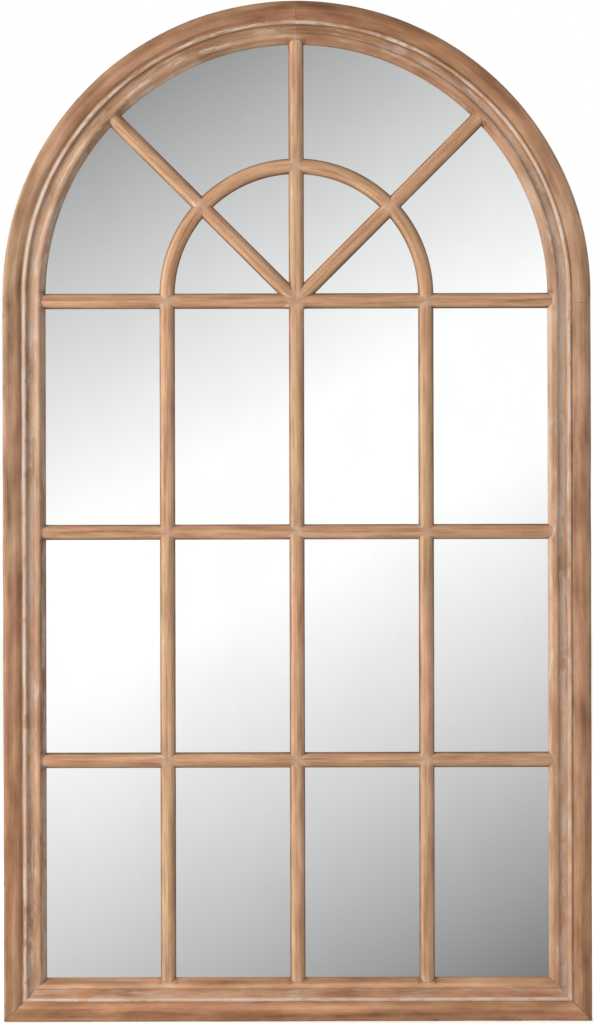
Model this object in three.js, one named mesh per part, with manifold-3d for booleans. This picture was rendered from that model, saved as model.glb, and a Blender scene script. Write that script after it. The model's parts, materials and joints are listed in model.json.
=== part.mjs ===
import * as THREE from 'three';
import { mergeVertices } from 'three/addons/utils/BufferGeometryUtils.js';
import Module from 'manifold-3d';

// Arched window mirror, in millimetres. X runs to the right, +Z is up and the glass faces -Y.
// The wall is the plane y = 0. The origin lies on it, at the centre of the arch, midway between
// the two hanging points. A "height" is a distance in front of the wall, so y = -height.

const wasm = await Module();
wasm.setup();

// Overall size: the height follows from the arch, the pane rows and the rail.
const overallWidth = 813;
const paneHeights = [299, 295, 291];
const frameDepth = 30;
const wallGap = 6;

// Bands of the frame moulding, from its outer edge to the glass. Each drop is measured down from the
// frame's front.
const roll = { width: 25, crownAt: 12, shoulder: 7, inset: 2 };
const groove = { width: 1.5, drop: 6.5 };
const bead = { width: 6.5, drop: 3.2, footDrop: 7.6 };
const cove = { width: 11.5, drop: 10, endDrop: 8.4, hollowShare: 1 / 3 };
const nose = { width: 8, drop: 5.6, endDrop: 8.2, ease: 1 };
const slope = { width: 6 };

// Rabbet and what stands in it.
const rabbetWidth = 10;
const lipThickness = 3.5;
const boardThickness = 5;
const glassThickness = 4;
const glassSideClearance = 1;
const boardSideClearance = 0.5;

// Glazing bars.
const barWidth = 21;
const barSide = 3.5;
const barChamfer = { width: 5, height: 7.5 };
const barCrownRise = 1;
const barLap = 2;
const springBarDrop = 7.5;
const fanAngle = Math.PI / 4;

// Joints between the wooden pieces.
const jointGap = 0.3;
const springJointDrop = 12;
const spline = { across: 30, along: 36, thickness: 4, height: 19 };
const tenon = { length: 50, width: 30, thickness: 6, height: 20, inset: 25 };

// Turn buttons: plates that pivot near one end.
const buttonPlate = { length: 32, width: 11, thickness: 1.5, tail: 6.5 };
const buttonPivotInset = 41;
const buttonRunGap = 0.2;
const buttonScrew = { headRadius: 4, headHeight: 2, shankRadius: 1.7, length: 14 };
const stileButtonLevels = [-230, -720];
const railButtonOffset = 175;
const screwClearance = 0.3;
const screwPoint = 2; // in shank radii
const screwCrown = 0.6; // in head radii

// Ring hangers: a folded strap with a loop that holds the straight side of a D-shaped ring.
const hangerInset = 24;
const ring = { wireRadius: 1.5, halfWidth: 9, cornerRadius: 2.5, sideEnd: 10 };
const strap = { width: 12, thickness: 2, wall: 1, length: 34, screwDrops: [9, 28] };
const loopClearance = 0.25;
const strapScrew = { headRadius: 3.5, headHeight: 1.8, shankRadius: 1.7, length: 12 };

const bumper = { radius: 9, rim: 0.8, inset: 24, rise: 90 };

// Smoothness.
const archSteps = 24;
const innerArchSteps = 18;
const mouldingSteps = 3;
const roundSides = 12;
const holeSides = 16;
const wireSteps = 36;
const wireSides = 8;

// Worked-out heights in front of the wall.
const frameBack = wallGap;
const frameFront = frameBack + frameDepth;
const boardFront = frameBack + boardThickness;
const glassFront = boardFront + glassThickness;
const rabbetFloor = glassFront + jointGap;
const lipFront = rabbetFloor + lipThickness;

// Worked-out widths and places.
const faceWidth = roll.width + groove.width + bead.width + cove.width + nose.width + slope.width;
const outerRadius = overallWidth / 2;
const openingRadius = outerRadius - faceWidth;
const columnPitch = (2 * openingRadius + barWidth) / 4;
const innerArchRadius = columnPitch;
const barLevels = [-springBarDrop];
for (const height of paneHeights.slice(0, -1)) {
  barLevels.push(barLevels.at(-1) - height - barWidth);
}
const railTop = barLevels.at(-1) - barWidth / 2 - paneHeights.at(-1);
const frameBottom = railTop - faceWidth;

const limedWood = { color: 0xa98467, roughness: 0.75, metalness: 0 };
const barWood = { color: 0xc39b79, roughness: 0.7, metalness: 0 };
const joinerWood = { color: 0xc8a67c, roughness: 0.85, metalness: 0 };
const silverGlass = { color: 0xd9dcdd, roughness: 0.04, metalness: 1 };
const fibreBoard = { color: 0x8a6a4c, roughness: 0.9, metalness: 0 };
const zincSteel = { color: 0xb4b2a8, roughness: 0.38, metalness: 1 };
const darkRubber = { color: 0x2c2b29, roughness: 0.9, metalness: 0 };

const mirror = new THREE.Group();

function addPiece(name, geometry, finish) {
  const piece = new THREE.Mesh(geometry, new THREE.MeshStandardMaterial(finish));
  piece.name = name;
  mirror.add(piece);
  return piece;
}

// ---- Joining and cutting

function solidOf(geometry) {
  const bare = geometry.clone();
  bare.deleteAttribute('normal');
  bare.deleteAttribute('uv');
  const merged = mergeVertices(bare);
  const mesh = new wasm.Mesh({
    numProp: 3,
    vertProperties: new Float32Array(merged.attributes.position.array),
    triVerts: new Uint32Array(merged.index.array),
  });
  return new wasm.Manifold(mesh);
}

function geometryOf(solid) {
  const mesh = solid.getMesh();
  const geometry = new THREE.BufferGeometry();
  geometry.setAttribute('position', new THREE.BufferAttribute(mesh.vertProperties, 3));
  geometry.setIndex(new THREE.BufferAttribute(mesh.triVerts, 1));
  geometry.computeVertexNormals();
  return geometry;
}

function cut(geometry, cutters) {
  let solid = solidOf(geometry);
  for (const cutter of cutters) {
    solid = solid.subtract(solidOf(cutter));
  }
  return geometryOf(solid);
}

// ---- Sections and sweeps

// Moves every side of a closed anticlockwise section outwards by one distance.
function grow(section, distance) {
  const normals = section.map((corner, i) => {
    const next = section[(i + 1) % section.length];
    return new THREE.Vector2(next.y - corner.y, corner.x - next.x).normalize();
  });
  return section.map((corner, i) => {
    const before = normals[(i + section.length - 1) % section.length];
    const after = normals[i];
    const shift = before.clone().add(after).multiplyScalar(distance / (1 + before.dot(after)));
    return corner.clone().add(shift);
  });
}

// The frame moulding: x runs inwards from the frame's outer edge, y is the height.
function frameSection() {
  const grooveStart = roll.width;
  const beadStart = grooveStart + groove.width;
  const coveStart = beadStart + bead.width;
  const noseStart = coveStart + cove.width;
  const slopeStart = noseStart + nose.width;
  const grooveFloor = frameFront - groove.drop;
  const beadTop = frameFront - bead.drop;
  const noseTop = frameFront - nose.drop;
  const outline = new THREE.Path();
  outline.moveTo(0, frameBack);
  outline.lineTo(0, frameFront - roll.shoulder);
  outline.quadraticCurveTo(0, frameFront, roll.crownAt, frameFront);
  outline.quadraticCurveTo(grooveStart - roll.inset, frameFront, grooveStart, grooveFloor);
  outline.lineTo(beadStart, grooveFloor);
  outline.quadraticCurveTo(beadStart, beadTop, beadStart + bead.width / 2, beadTop);
  outline.quadraticCurveTo(coveStart, beadTop, coveStart, frameFront - bead.footDrop);
  outline.quadraticCurveTo(
    coveStart + cove.width * cove.hollowShare, frameFront - cove.drop,
    noseStart, frameFront - cove.endDrop,
  );
  outline.quadraticCurveTo(noseStart, noseTop, noseStart + nose.width / 2, noseTop);
  outline.quadraticCurveTo(slopeStart - nose.ease, noseTop, slopeStart, frameFront - nose.endDrop);
  outline.lineTo(faceWidth, lipFront);
  outline.lineTo(faceWidth, rabbetFloor);
  outline.lineTo(faceWidth - rabbetWidth, rabbetFloor);
  outline.lineTo(faceWidth - rabbetWidth, frameBack);
  return outline.getPoints(mouldingSteps).reverse();
}

// A glazing bar: x runs across it from its centre line, y is the height.
function barSection() {
  const half = barWidth / 2;
  const shoulder = half - barChamfer.width;
  const chamferTop = lipFront + barChamfer.height;
  const outline = new THREE.Path();
  outline.moveTo(-half, rabbetFloor);
  outline.lineTo(half, rabbetFloor);
  outline.lineTo(half, rabbetFloor + barSide);
  outline.lineTo(shoulder, chamferTop);
  outline.quadraticCurveTo(0, chamferTop + 2 * barCrownRise, -shoulder, chamferTop);
  outline.lineTo(-half, rabbetFloor + barSide);
  return outline.getPoints(mouldingSteps + 1);
}

// Carries a section along stations. At each one the section's x runs from the station's point (x, z)
// along its "inward" direction, and its y is the height. The stations run clockwise, seen from the front.
function sweep(section, stations, closed = false) {
  const positions = [];
  for (const { point, inward } of stations) {
    for (const corner of section) {
      positions.push(point.x + inward.x * corner.x, -corner.y, point.y + inward.y * corner.x);
    }
  }
  const sides = section.length;
  const index = [];
  const spans = closed ? stations.length : stations.length - 1;
  for (let span = 0; span < spans; span += 1) {
    const here = span * sides;
    const next = ((span + 1) % stations.length) * sides;
    for (let side = 0; side < sides; side += 1) {
      const after = (side + 1) % sides;
      index.push(here + side, next + after, here + after);
      index.push(here + side, next + side, next + after);
    }
  }
  if (!closed) {
    const end = (stations.length - 1) * sides;
    for (const [a, b, c] of THREE.ShapeUtils.triangulateShape(section, [])) {
      index.push(a, b, c);
      index.push(end + a, end + c, end + b);
    }
  }
  const geometry = new THREE.BufferGeometry();
  geometry.setAttribute('position', new THREE.Float32BufferAttribute(positions, 3));
  geometry.setIndex(index);
  geometry.computeVertexNormals();
  return geometry;
}

function station(x, z, inwardX, inwardZ) {
  return { point: new THREE.Vector2(x, z), inward: new THREE.Vector2(inwardX, inwardZ) };
}

// Stations on a circle about the origin, clockwise from one angle to the other.
function arcStations(radius, fromAngle, toAngle, steps) {
  const stations = [];
  for (let step = 0; step <= steps; step += 1) {
    const angle = THREE.MathUtils.lerp(fromAngle, toAngle, step / steps);
    const x = Math.cos(angle);
    const z = Math.sin(angle);
    stations.push(station(radius * x, radius * z, -x, -z));
  }
  return stations;
}

// Two stations of a straight run, with "inward" to the right of the way it goes.
function lineStations(from, to) {
  const way = to.clone().sub(from).normalize();
  return [from, to].map((end) => station(end.x, end.y, way.y, -way.x));
}

const moulding = frameSection();
const barShape = barSection();
const wideBarShape = grow(barShape, jointGap);

// ---- Frame

const mitreShift = jointGap / Math.SQRT2;
const halfGap = jointGap / 2;
const stileTop = -springJointDrop;

function frameLoop() {
  return [
    station(-outerRadius, frameBottom, 1, 1),
    ...arcStations(outerRadius, Math.PI, 0, 2 * archSteps),
    station(outerRadius, frameBottom, -1, 1),
  ];
}
const wideFrame = sweep(grow(moulding, jointGap), frameLoop(), true);

function leftStile() {
  return sweep(moulding, [
    station(-outerRadius, frameBottom + mitreShift, 1, 1),
    station(-outerRadius, stileTop - halfGap, 1, 0),
  ]);
}

function rightStile() {
  return sweep(moulding, [
    station(outerRadius, stileTop - halfGap, -1, 0),
    station(outerRadius, frameBottom + mitreShift, -1, 1),
  ]);
}

function bottomRail() {
  return sweep(moulding, [
    station(outerRadius - mitreShift, frameBottom, -1, 1),
    station(-outerRadius + mitreShift, frameBottom, 1, 1),
  ]);
}

function archHalf(side) {
  const quarter = side < 0
    ? arcStations(outerRadius, Math.PI, Math.PI / 2, archSteps)
    : arcStations(outerRadius, Math.PI / 2, 0, archSteps);
  const crown = side < 0 ? quarter.at(-1) : quarter.at(0);
  crown.point.x = side * halfGap;
  const foot = station(side * outerRadius, stileTop + halfGap, -side, 0);
  return sweep(moulding, side < 0 ? [foot, ...quarter] : [...quarter, foot]);
}

// ---- Hidden joiners

function box(width, height, depth, x, heightFromWall, z, turn = 0) {
  const geometry = new THREE.BoxGeometry(width, height, depth);
  geometry.rotateY(turn);
  geometry.translate(x, -heightFromWall, z);
  return geometry;
}

// The key across a bottom mitre, square to it. Grown by the joint gap it is its own slot.
function cornerSpline(side, growth = 0) {
  const reach = faceWidth / 2 - rabbetWidth / 2;
  return box(
    spline.across + 2 * growth, spline.thickness + 2 * growth, spline.along + 2 * growth,
    side * (outerRadius - reach), spline.height, frameBottom + reach, side * fanAngle,
  );
}

function springTenon(side, growth = 0) {
  return box(
    tenon.width + 2 * growth, tenon.thickness + 2 * growth, tenon.length + 2 * growth,
    side * (outerRadius - tenon.inset), tenon.height, stileTop,
  );
}

function crownTenon(growth = 0) {
  return box(
    tenon.length + 2 * growth, tenon.thickness + 2 * growth, tenon.width + 2 * growth,
    0, tenon.height, outerRadius - tenon.inset,
  );
}

// ---- Screws, and the holes they need

// A pan-head screw along Y. Its head rises towards +Y from a seat at y = 0.
function screwGeometry({ headRadius, headHeight, shankRadius, length }) {
  const profile = [
    new THREE.Vector2(0, -length),
    new THREE.Vector2(shankRadius, -length + screwPoint * shankRadius),
    new THREE.Vector2(shankRadius, 0),
    new THREE.Vector2(headRadius, 0),
    new THREE.Vector2(headRadius, headHeight / 2),
    new THREE.Vector2(headRadius * screwCrown, headHeight),
    new THREE.Vector2(0, headHeight),
  ];
  return new THREE.LatheGeometry(profile, roundSides);
}

function addScrew(name, size, x, seatHeight, z) {
  const piece = addPiece(name, screwGeometry(size), zincSteel);
  piece.position.set(x, -seatHeight, z);
}

// The pilot hole in the frame's back for a screw whose head seats at a given height.
function pilotHole(size, x, seatHeight, z) {
  const radius = size.shankRadius + screwClearance;
  const depth = seatHeight + size.length + screwClearance - frameBack;
  const mouth = depth + screwClearance;
  const hole = new THREE.CylinderGeometry(radius, radius, mouth, holeSides);
  hole.translate(x, -(frameBack + depth - mouth / 2), z);
  return hole;
}

// ---- Turn buttons

const buttonSeat = frameBack - buttonRunGap;
const buttonScrewSeat = buttonSeat - buttonPlate.thickness - buttonRunGap;

// Each pivot lies on the frame's back land, and its plate points at the backing board.
function turnButtonPlaces() {
  const places = [];
  const sideX = outerRadius - buttonPivotInset;
  const railZ = frameBottom + buttonPivotInset;
  for (const [label, side] of [['left', -1], ['right', 1]]) {
    const archAngle = side < 0 ? Math.PI - fanAngle : fanAngle;
    const archX = Math.cos(archAngle);
    const archZ = Math.sin(archAngle);
    places.push({ name: `turn_button_${label}_arch`, on: `arch_${label}`,
      x: sideX * archX, z: sideX * archZ, towards: [-archX, -archZ] });
    stileButtonLevels.forEach((level, i) => {
      places.push({ name: `turn_button_${label}_${['upper', 'lower'][i]}`, on: `${label}_stile`,
        x: side * sideX, z: level, towards: [-side, 0] });
    });
    places.push({ name: `turn_button_${label}_bottom`, on: 'bottom_rail',
      x: side * railButtonOffset, z: railZ, towards: [0, 1] });
  }
  return places;
}

// A flat plate with round ends and one hole at the local origin. It points along local +X.
function buttonGeometry() {
  const end = buttonPlate.width / 2;
  const tip = buttonPlate.length - buttonPlate.tail - end;
  const tail = end - buttonPlate.tail;
  const outline = new THREE.Shape();
  outline.moveTo(tail, -end);
  outline.lineTo(tip, -end);
  outline.absarc(tip, 0, end, -Math.PI / 2, Math.PI / 2, false);
  outline.lineTo(tail, end);
  outline.absarc(tail, 0, end, Math.PI / 2, 1.5 * Math.PI, false);
  const hole = new THREE.Path();
  hole.absarc(0, 0, buttonScrew.shankRadius + screwClearance, 0, 2 * Math.PI, true);
  outline.holes.push(hole);
  const plate = new THREE.ExtrudeGeometry(outline, {
    depth: buttonPlate.thickness, bevelEnabled: false, curveSegments: roundSides / 3,
  });
  plate.rotateX(Math.PI / 2);
  plate.translate(0, buttonPlate.thickness, 0);
  return plate;
}

function addTurnButton(place) {
  const plate = addPiece(place.name, buttonGeometry(), zincSteel);
  plate.rotation.y = -Math.atan2(place.towards[1], place.towards[0]);
  plate.position.set(place.x, -buttonSeat, place.z);
  addScrew(`${place.name}_screw`, buttonScrew, place.x, buttonScrewSeat, place.z);
}

// ---- Ring hangers

const loopRadius = ring.wireRadius + loopClearance;
const loopOuter = loopRadius + strap.wall;
const ringAxisHeight = frameBack - loopOuter;
const ringReach = ring.sideEnd + ring.halfWidth;
// The hanging points, at the inside of the raised rings' bows, are level with the origin.
const ringAxisZ = -(ringReach - ring.wireRadius);
const strapFront = frameBack - strap.thickness;

// The raised ring leans on the frame's back.
const ringLean = Math.asin(
  (frameBack - ringAxisHeight - ring.wireRadius - jointGap) / ringReach,
);

// A strap about its ring's axis: a plate, a loop round the axis, and two screw holes.
function strapGeometry() {
  const end = strap.width / 2;
  const outline = new THREE.Shape();
  outline.moveTo(end, 0);
  outline.lineTo(-end, 0);
  outline.lineTo(-end, -strap.length + end);
  outline.absarc(0, -strap.length + end, end, Math.PI, 2 * Math.PI, false);
  const plate = new THREE.ExtrudeGeometry(outline, {
    depth: strap.thickness, bevelEnabled: false, curveSegments: roundSides / 2,
  });
  plate.rotateX(Math.PI / 2);
  plate.translate(0, ringAxisHeight - strapFront, 0);
  const loop = new THREE.CylinderGeometry(loopOuter, loopOuter, strap.width, 2 * roundSides);
  loop.rotateZ(Math.PI / 2);
  const bore = new THREE.CylinderGeometry(loopRadius, loopRadius, 2 * strap.width, 2 * roundSides);
  bore.rotateZ(Math.PI / 2);
  const holeRadius = strapScrew.shankRadius + screwClearance;
  const cutters = strap.screwDrops.map((drop) => {
    const hole = new THREE.CylinderGeometry(holeRadius, holeRadius, 4 * strap.thickness, holeSides);
    hole.translate(0, ringAxisHeight - strapFront, -drop);
    return hole;
  });
  return cut(geometryOf(solidOf(plate).add(solidOf(loop))), [bore, ...cutters]);
}

// The centre line of the ring's wire: it starts and ends in the middle of its straight side.
class RingCurve extends THREE.CurvePath {
  constructor() {
    super();
    const { halfWidth, cornerRadius, sideEnd } = ring;
    const outline = new THREE.Path();
    outline.moveTo(jointGap, 0);
    outline.lineTo(halfWidth - cornerRadius, 0);
    outline.absarc(halfWidth - cornerRadius, cornerRadius, cornerRadius, -Math.PI / 2, 0, false);
    outline.lineTo(halfWidth, sideEnd);
    outline.absarc(0, sideEnd, halfWidth, 0, Math.PI, false);
    outline.lineTo(-halfWidth, cornerRadius);
    outline.absarc(cornerRadius - halfWidth, cornerRadius, cornerRadius, Math.PI, 1.5 * Math.PI, false);
    outline.lineTo(-jointGap, 0);
    for (const curve of outline.curves) {
      this.add(curve);
    }
  }

  getPoint(t) {
    const point = super.getPoint(t);
    return new THREE.Vector3(point.x, 0, point.y);
  }
}

function ringGeometry() {
  const wire = new THREE.Shape();
  wire.absarc(0, 0, ring.wireRadius, 0, 2 * Math.PI, false);
  return new THREE.ExtrudeGeometry(wire, {
    extrudePath: new RingCurve(), steps: wireSteps, curveSegments: wireSides / 2,
  });
}

function addHanger(label, side) {
  const x = side * (outerRadius - hangerInset);
  const plate = addPiece(`${label}_hanger_strap`, strapGeometry(), zincSteel);
  plate.position.set(x, -ringAxisHeight, ringAxisZ);
  const loop = addPiece(`${label}_hanger_ring`, ringGeometry(), zincSteel);
  loop.rotation.x = ringLean;
  loop.position.set(x, -ringAxisHeight, ringAxisZ);
  strap.screwDrops.forEach((drop, i) => {
    const name = `${label}_hanger_screw_${['upper', 'lower'][i]}`;
    addScrew(name, strapScrew, x, strapFront, ringAxisZ - drop);
  });
}

function hangerHoles(side) {
  const x = side * (outerRadius - hangerInset);
  return strap.screwDrops.map((drop) => pilotHole(strapScrew, x, strapFront, ringAxisZ - drop));
}

// ---- Frame pieces, with their slots and pilot holes

const buttonPlaces = turnButtonPlaces();

function buttonHoles(frameName) {
  return buttonPlaces
    .filter((place) => place.on === frameName)
    .map((place) => pilotHole(buttonScrew, place.x, buttonScrewSeat, place.z));
}

function addFrame() {
  const splineSlots = [cornerSpline(-1, jointGap), cornerSpline(1, jointGap)];
  for (const [label, side, stile] of [['left', -1, leftStile()], ['right', 1, rightStile()]]) {
    const tenonSlot = springTenon(side, jointGap);
    const stileCutters = [tenonSlot, ...splineSlots, ...hangerHoles(side), ...buttonHoles(`${label}_stile`)];
    addPiece(`${label}_stile`, cut(stile, stileCutters), limedWood);
    const archCutters = [tenonSlot, crownTenon(jointGap), ...buttonHoles(`arch_${label}`)];
    addPiece(`arch_${label}`, cut(archHalf(side), archCutters), limedWood);
    addPiece(`${label}_corner_spline`, cornerSpline(side), joinerWood);
    addPiece(`${label}_spring_tenon`, springTenon(side), joinerWood);
  }
  addPiece('bottom_rail', cut(bottomRail(), [...splineSlots, ...buttonHoles('bottom_rail')]), limedWood);
  addPiece('crown_tenon', crownTenon(), joinerWood);
}

// ---- Glazing bars

// How far a bar runs under the frame before it is coped to the moulding: the slope and a lap on the nose.
const barReach = slope.width + barLap;

function straightBar(shape, fromX, fromZ, toX, toZ) {
  return sweep(shape, lineStations(new THREE.Vector2(fromX, fromZ), new THREE.Vector2(toX, toZ)));
}

// The whole small arch, with its feet carried straight down to the spring bar's centre line.
function wholeInnerArch(shape) {
  const foot = barLevels[0];
  return sweep(shape, [
    station(-innerArchRadius, foot, 1, 0),
    ...arcStations(innerArchRadius, Math.PI, 0, 2 * innerArchSteps),
    station(innerArchRadius, foot, -1, 0),
  ]);
}

function addUprights() {
  const foot = railTop - barReach;
  addPiece('centre_mullion',
    cut(straightBar(barShape, 0, foot, 0, openingRadius + barReach), [wideFrame]), barWood);
  for (const [label, side] of [['left', -1], ['right', 1]]) {
    const x = side * columnPitch;
    addPiece(`${label}_mullion`,
      cut(straightBar(barShape, x, foot, x, barLevels[0] - halfGap), [wideFrame]), barWood);
  }
}

function addCrossBars() {
  const rows = ['spring_bar', 'upper_bar', 'lower_bar'];
  const columns = ['far_left', 'mid_left', 'mid_right', 'far_right'];
  const sideEnd = openingRadius + barReach;
  const ends = [-sideEnd, -columnPitch, 0, columnPitch, sideEnd];
  const uprightTop = columnPitch / 2;
  const uprights = [-columnPitch, 0, columnPitch].map(
    (x) => straightBar(wideBarShape, x, railTop, x, uprightTop),
  );
  rows.forEach((row, level) => {
    columns.forEach((column, i) => {
      const bar = straightBar(barShape, ends[i], barLevels[level], ends[i + 1], barLevels[level]);
      addPiece(`${row}_${column}`, cut(bar, [wideFrame, ...uprights]), barWood);
    });
  });
}

function addFan() {
  const hub = barLevels[0];
  const wideCentre = straightBar(wideBarShape, 0, railTop, 0, outerRadius);
  const wideSpringBar = straightBar(wideBarShape, -openingRadius, hub, openingRadius, hub);
  const wideInnerArch = wholeInnerArch(wideBarShape);
  for (const [label, side] of [['left', -1], ['right', 1]]) {
    const quarter = side < 0
      ? arcStations(innerArchRadius, Math.PI, Math.PI / 2, innerArchSteps)
      : arcStations(innerArchRadius, Math.PI / 2, 0, innerArchSteps);
    const foot = station(side * innerArchRadius, hub + halfGap, -side, 0);
    const half = sweep(barShape, side < 0 ? [foot, ...quarter] : [...quarter, foot]);
    addPiece(`inner_arch_${label}`, cut(half, [wideCentre]), barWood);

    const wayX = side * Math.cos(fanAngle);
    const wayZ = Math.sin(fanAngle);
    const meetArch = spokeLength(hub, innerArchRadius);
    const meetFrame = spokeLength(hub, openingRadius + barReach);
    const inner = straightBar(barShape, 0, hub, wayX * meetArch, hub + wayZ * meetArch);
    addPiece(`spoke_${label}_inner`, cut(inner, [wideCentre, wideSpringBar, wideInnerArch]), barWood);
    const outer = straightBar(barShape,
      wayX * meetArch, hub + wayZ * meetArch, wayX * meetFrame, hub + wayZ * meetFrame);
    addPiece(`spoke_${label}_outer`, cut(outer, [wideFrame, wideInnerArch]), barWood);
  }
}

// How far a spoke runs from the hub, which lies below the arch's centre, to a circle of that centre.
function spokeLength(hub, radius) {
  const along = hub * Math.sin(fanAngle);
  return Math.sqrt(radius * radius - hub * hub + along * along) - along;
}

// ---- Glass and backing board

// An arched sheet that stands on the rabbet's bottom, with a clearance all round its sides.
function archedSheet(clearance, thickness, backHeight) {
  const radius = openingRadius + rabbetWidth - clearance;
  const outline = new THREE.Shape();
  outline.moveTo(-radius, railTop - rabbetWidth + jointGap);
  outline.lineTo(radius, railTop - rabbetWidth + jointGap);
  outline.lineTo(radius, 0);
  outline.absarc(0, 0, radius, 0, Math.PI, false);
  const sheet = new THREE.ExtrudeGeometry(outline, {
    depth: thickness, bevelEnabled: false, curveSegments: archSteps,
  });
  sheet.rotateX(Math.PI / 2);
  sheet.translate(0, -backHeight, 0);
  return sheet;
}

// ---- Bumpers

function addBumper(label, side) {
  const { radius, rim } = bumper;
  const profile = [
    new THREE.Vector2(0, -wallGap),
    new THREE.Vector2(radius, -wallGap),
    new THREE.Vector2(radius, -rim),
    new THREE.Vector2(radius - rim, 0),
    new THREE.Vector2(0, 0),
  ];
  const pad = addPiece(`${label}_bumper`, new THREE.LatheGeometry(profile, 2 * roundSides), darkRubber);
  pad.position.set(side * (outerRadius - bumper.inset), 0, frameBottom + bumper.rise);
}

addFrame();
addUprights();
addCrossBars();
addFan();
addPiece('mirror_glass', archedSheet(glassSideClearance, glassThickness, boardFront), silverGlass);
addPiece('backing_board', archedSheet(boardSideClearance, boardThickness, frameBack), fibreBoard);
buttonPlaces.forEach(addTurnButton);
for (const [label, side] of [['left', -1], ['right', 1]]) {
  addHanger(label, side);
  addBumper(label, side);
}

export default mirror;
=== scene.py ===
import json
import math

import bmesh
import bpy
import numpy as np
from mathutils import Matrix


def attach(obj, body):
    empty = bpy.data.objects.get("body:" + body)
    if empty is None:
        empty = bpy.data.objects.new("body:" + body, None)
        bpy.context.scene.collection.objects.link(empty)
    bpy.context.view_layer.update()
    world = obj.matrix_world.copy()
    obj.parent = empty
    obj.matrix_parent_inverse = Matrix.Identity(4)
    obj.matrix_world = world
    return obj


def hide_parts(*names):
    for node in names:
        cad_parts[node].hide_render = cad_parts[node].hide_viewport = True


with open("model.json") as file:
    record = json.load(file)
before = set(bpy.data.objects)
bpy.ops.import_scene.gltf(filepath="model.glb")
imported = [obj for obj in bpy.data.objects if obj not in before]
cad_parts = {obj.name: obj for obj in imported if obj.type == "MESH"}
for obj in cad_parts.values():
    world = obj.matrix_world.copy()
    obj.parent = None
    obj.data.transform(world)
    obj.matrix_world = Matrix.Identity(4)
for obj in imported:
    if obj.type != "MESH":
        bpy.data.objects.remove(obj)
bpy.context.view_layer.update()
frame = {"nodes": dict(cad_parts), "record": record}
bodies = frame["record"]["behaviour"]["bodies"]
bodyOfNode = {node: body for body, nodes in bodies.items() for node in nodes}
print("frame loaded:", len(frame["nodes"]), "solids")

# Shapes are worked out in millimetres in the frame's own axes, and written to the meshes in metres.
# A "height" is a distance in front of the wall, so y = -height.
mirrorSize = {
    "outerRadius": 406.5, "faceWidth": 58.5, "frameBottom": -1003.5, "railTop": -945.0,
    "frameBack": 6.0, "frameFront": 36.0, "rabbetFloor": 15.3, "lipFront": 18.8, "rabbetWidth": 10.0,
    "springJoint": -12.0, "barWidth": 21.0, "rowLevels": (-7.5, -327.5, -643.5), "gap": 0.06,
}
millimetre = 0.001
diagonal = math.sqrt(0.5)
outerRadius = mirrorSize["outerRadius"]
openingRadius = outerRadius - mirrorSize["faceWidth"]
frameBottom, railTop = mirrorSize["frameBottom"], mirrorSize["railTop"]
rabbetFloor, lipFront = mirrorSize["rabbetFloor"], mirrorSize["lipFront"]
springJoint = mirrorSize["springJoint"]
gap = mirrorSize["gap"]
halfBar = mirrorSize["barWidth"] / 2
columnPitch = (openingRadius + halfBar) / 2
hubLevel = mirrorSize["rowLevels"][0]


# A grid's quad (i, j) joins its points (i, j), (i, j+1), (i+1, j+1) and (i+1, j).
# With wrap, the last column joins the first.
def gridQuads(rows, columns, wrap=True):
    i = np.arange(rows - 1)[:, None]
    j = np.arange(columns if wrap else columns - 1)[None, :]
    k = (j + 1) % columns
    near, far = i * columns, (i + 1) * columns
    quads = np.stack([near + j, near + k, far + k, far + j], axis=-1)
    return quads.reshape(-1, 4)


# Puts points (millimetres) and faces into a mesh. grain is one (along, across) pair for each point, wrapAt
# the across value where the section closes, which a jump back by a quarter of it shows, and paints holds four
# values for each point by attribute name.
def makePiece(name, points, quads, caps=(), grain=None, wrapAt=None, paints=None, sharpAngle=38):
    mesh = bpy.data.meshes.new(name)
    faces = quads.tolist() + [list(cap) for cap in caps]
    mesh.from_pydata((points * millimetre).tolist(), [], faces)
    if grain is not None:
        loopPoint = np.zeros(len(mesh.loops), np.int32)
        mesh.loops.foreach_get("vertex_index", loopPoint)
        corners = grain[loopPoint] * millimetre
        quadAcross = corners[:len(quads) * 4, 1].reshape(-1, 4)
        wraps = quadAcross[:, 1] < quadAcross[:, 0] - 0.25 * wrapAt * millimetre
        quadAcross[wraps, 1:3] = wrapAt * millimetre
        layer = mesh.uv_layers.new(name="grain")
        layer.data.foreach_set("uv", corners.astype(np.float32).ravel())
    for key, values in (paints or {}).items():
        layer = mesh.attributes.new(key, "FLOAT_COLOR", "POINT")
        layer.data.foreach_set("color", values.astype(np.float32).ravel())
    work = bmesh.new()
    work.from_mesh(mesh)
    bmesh.ops.recalc_face_normals(work, faces=work.faces)
    work.to_mesh(mesh)
    work.free()
    mesh.polygons.foreach_set("use_smooth", np.ones(len(mesh.polygons), bool))
    mesh.set_sharp_from_angle(angle=math.radians(sharpAngle))
    piece = bpy.data.objects.new(name, mesh)
    bpy.context.scene.collection.objects.link(piece)
    return piece


# The piece takes its finish, stands for one CAD node and rides on that node's body.
def settle(piece, node, material):
    piece.data.materials.append(material)
    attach(piece, bodyOfNode[node])
    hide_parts(node)
    return piece


# left_stile becomes leftStileMoulding, and so on.
def pieceName(node, ending):
    first, *others = node.split("_")
    return first + "".join(word.capitalize() for word in others) + ending


# An sRGB colour of three bytes as Blender's linear colour.
def paint(red, green, blue):
    share = np.array([red, green, blue]) / 255
    linear = np.where(share <= 0.04045, share / 12.92, ((share + 0.055) / 1.055) ** 2.4)
    return (*[float(value) for value in linear], 1.0)


# A new material, its node tree and the object's own coordinates.
def newMaterial(name):
    material = bpy.data.materials.new(name)
    material.use_nodes = True
    tree = material.node_tree
    tree.nodes.clear()
    return material, tree, put(tree, "TexCoord").outputs["Object"]


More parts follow.
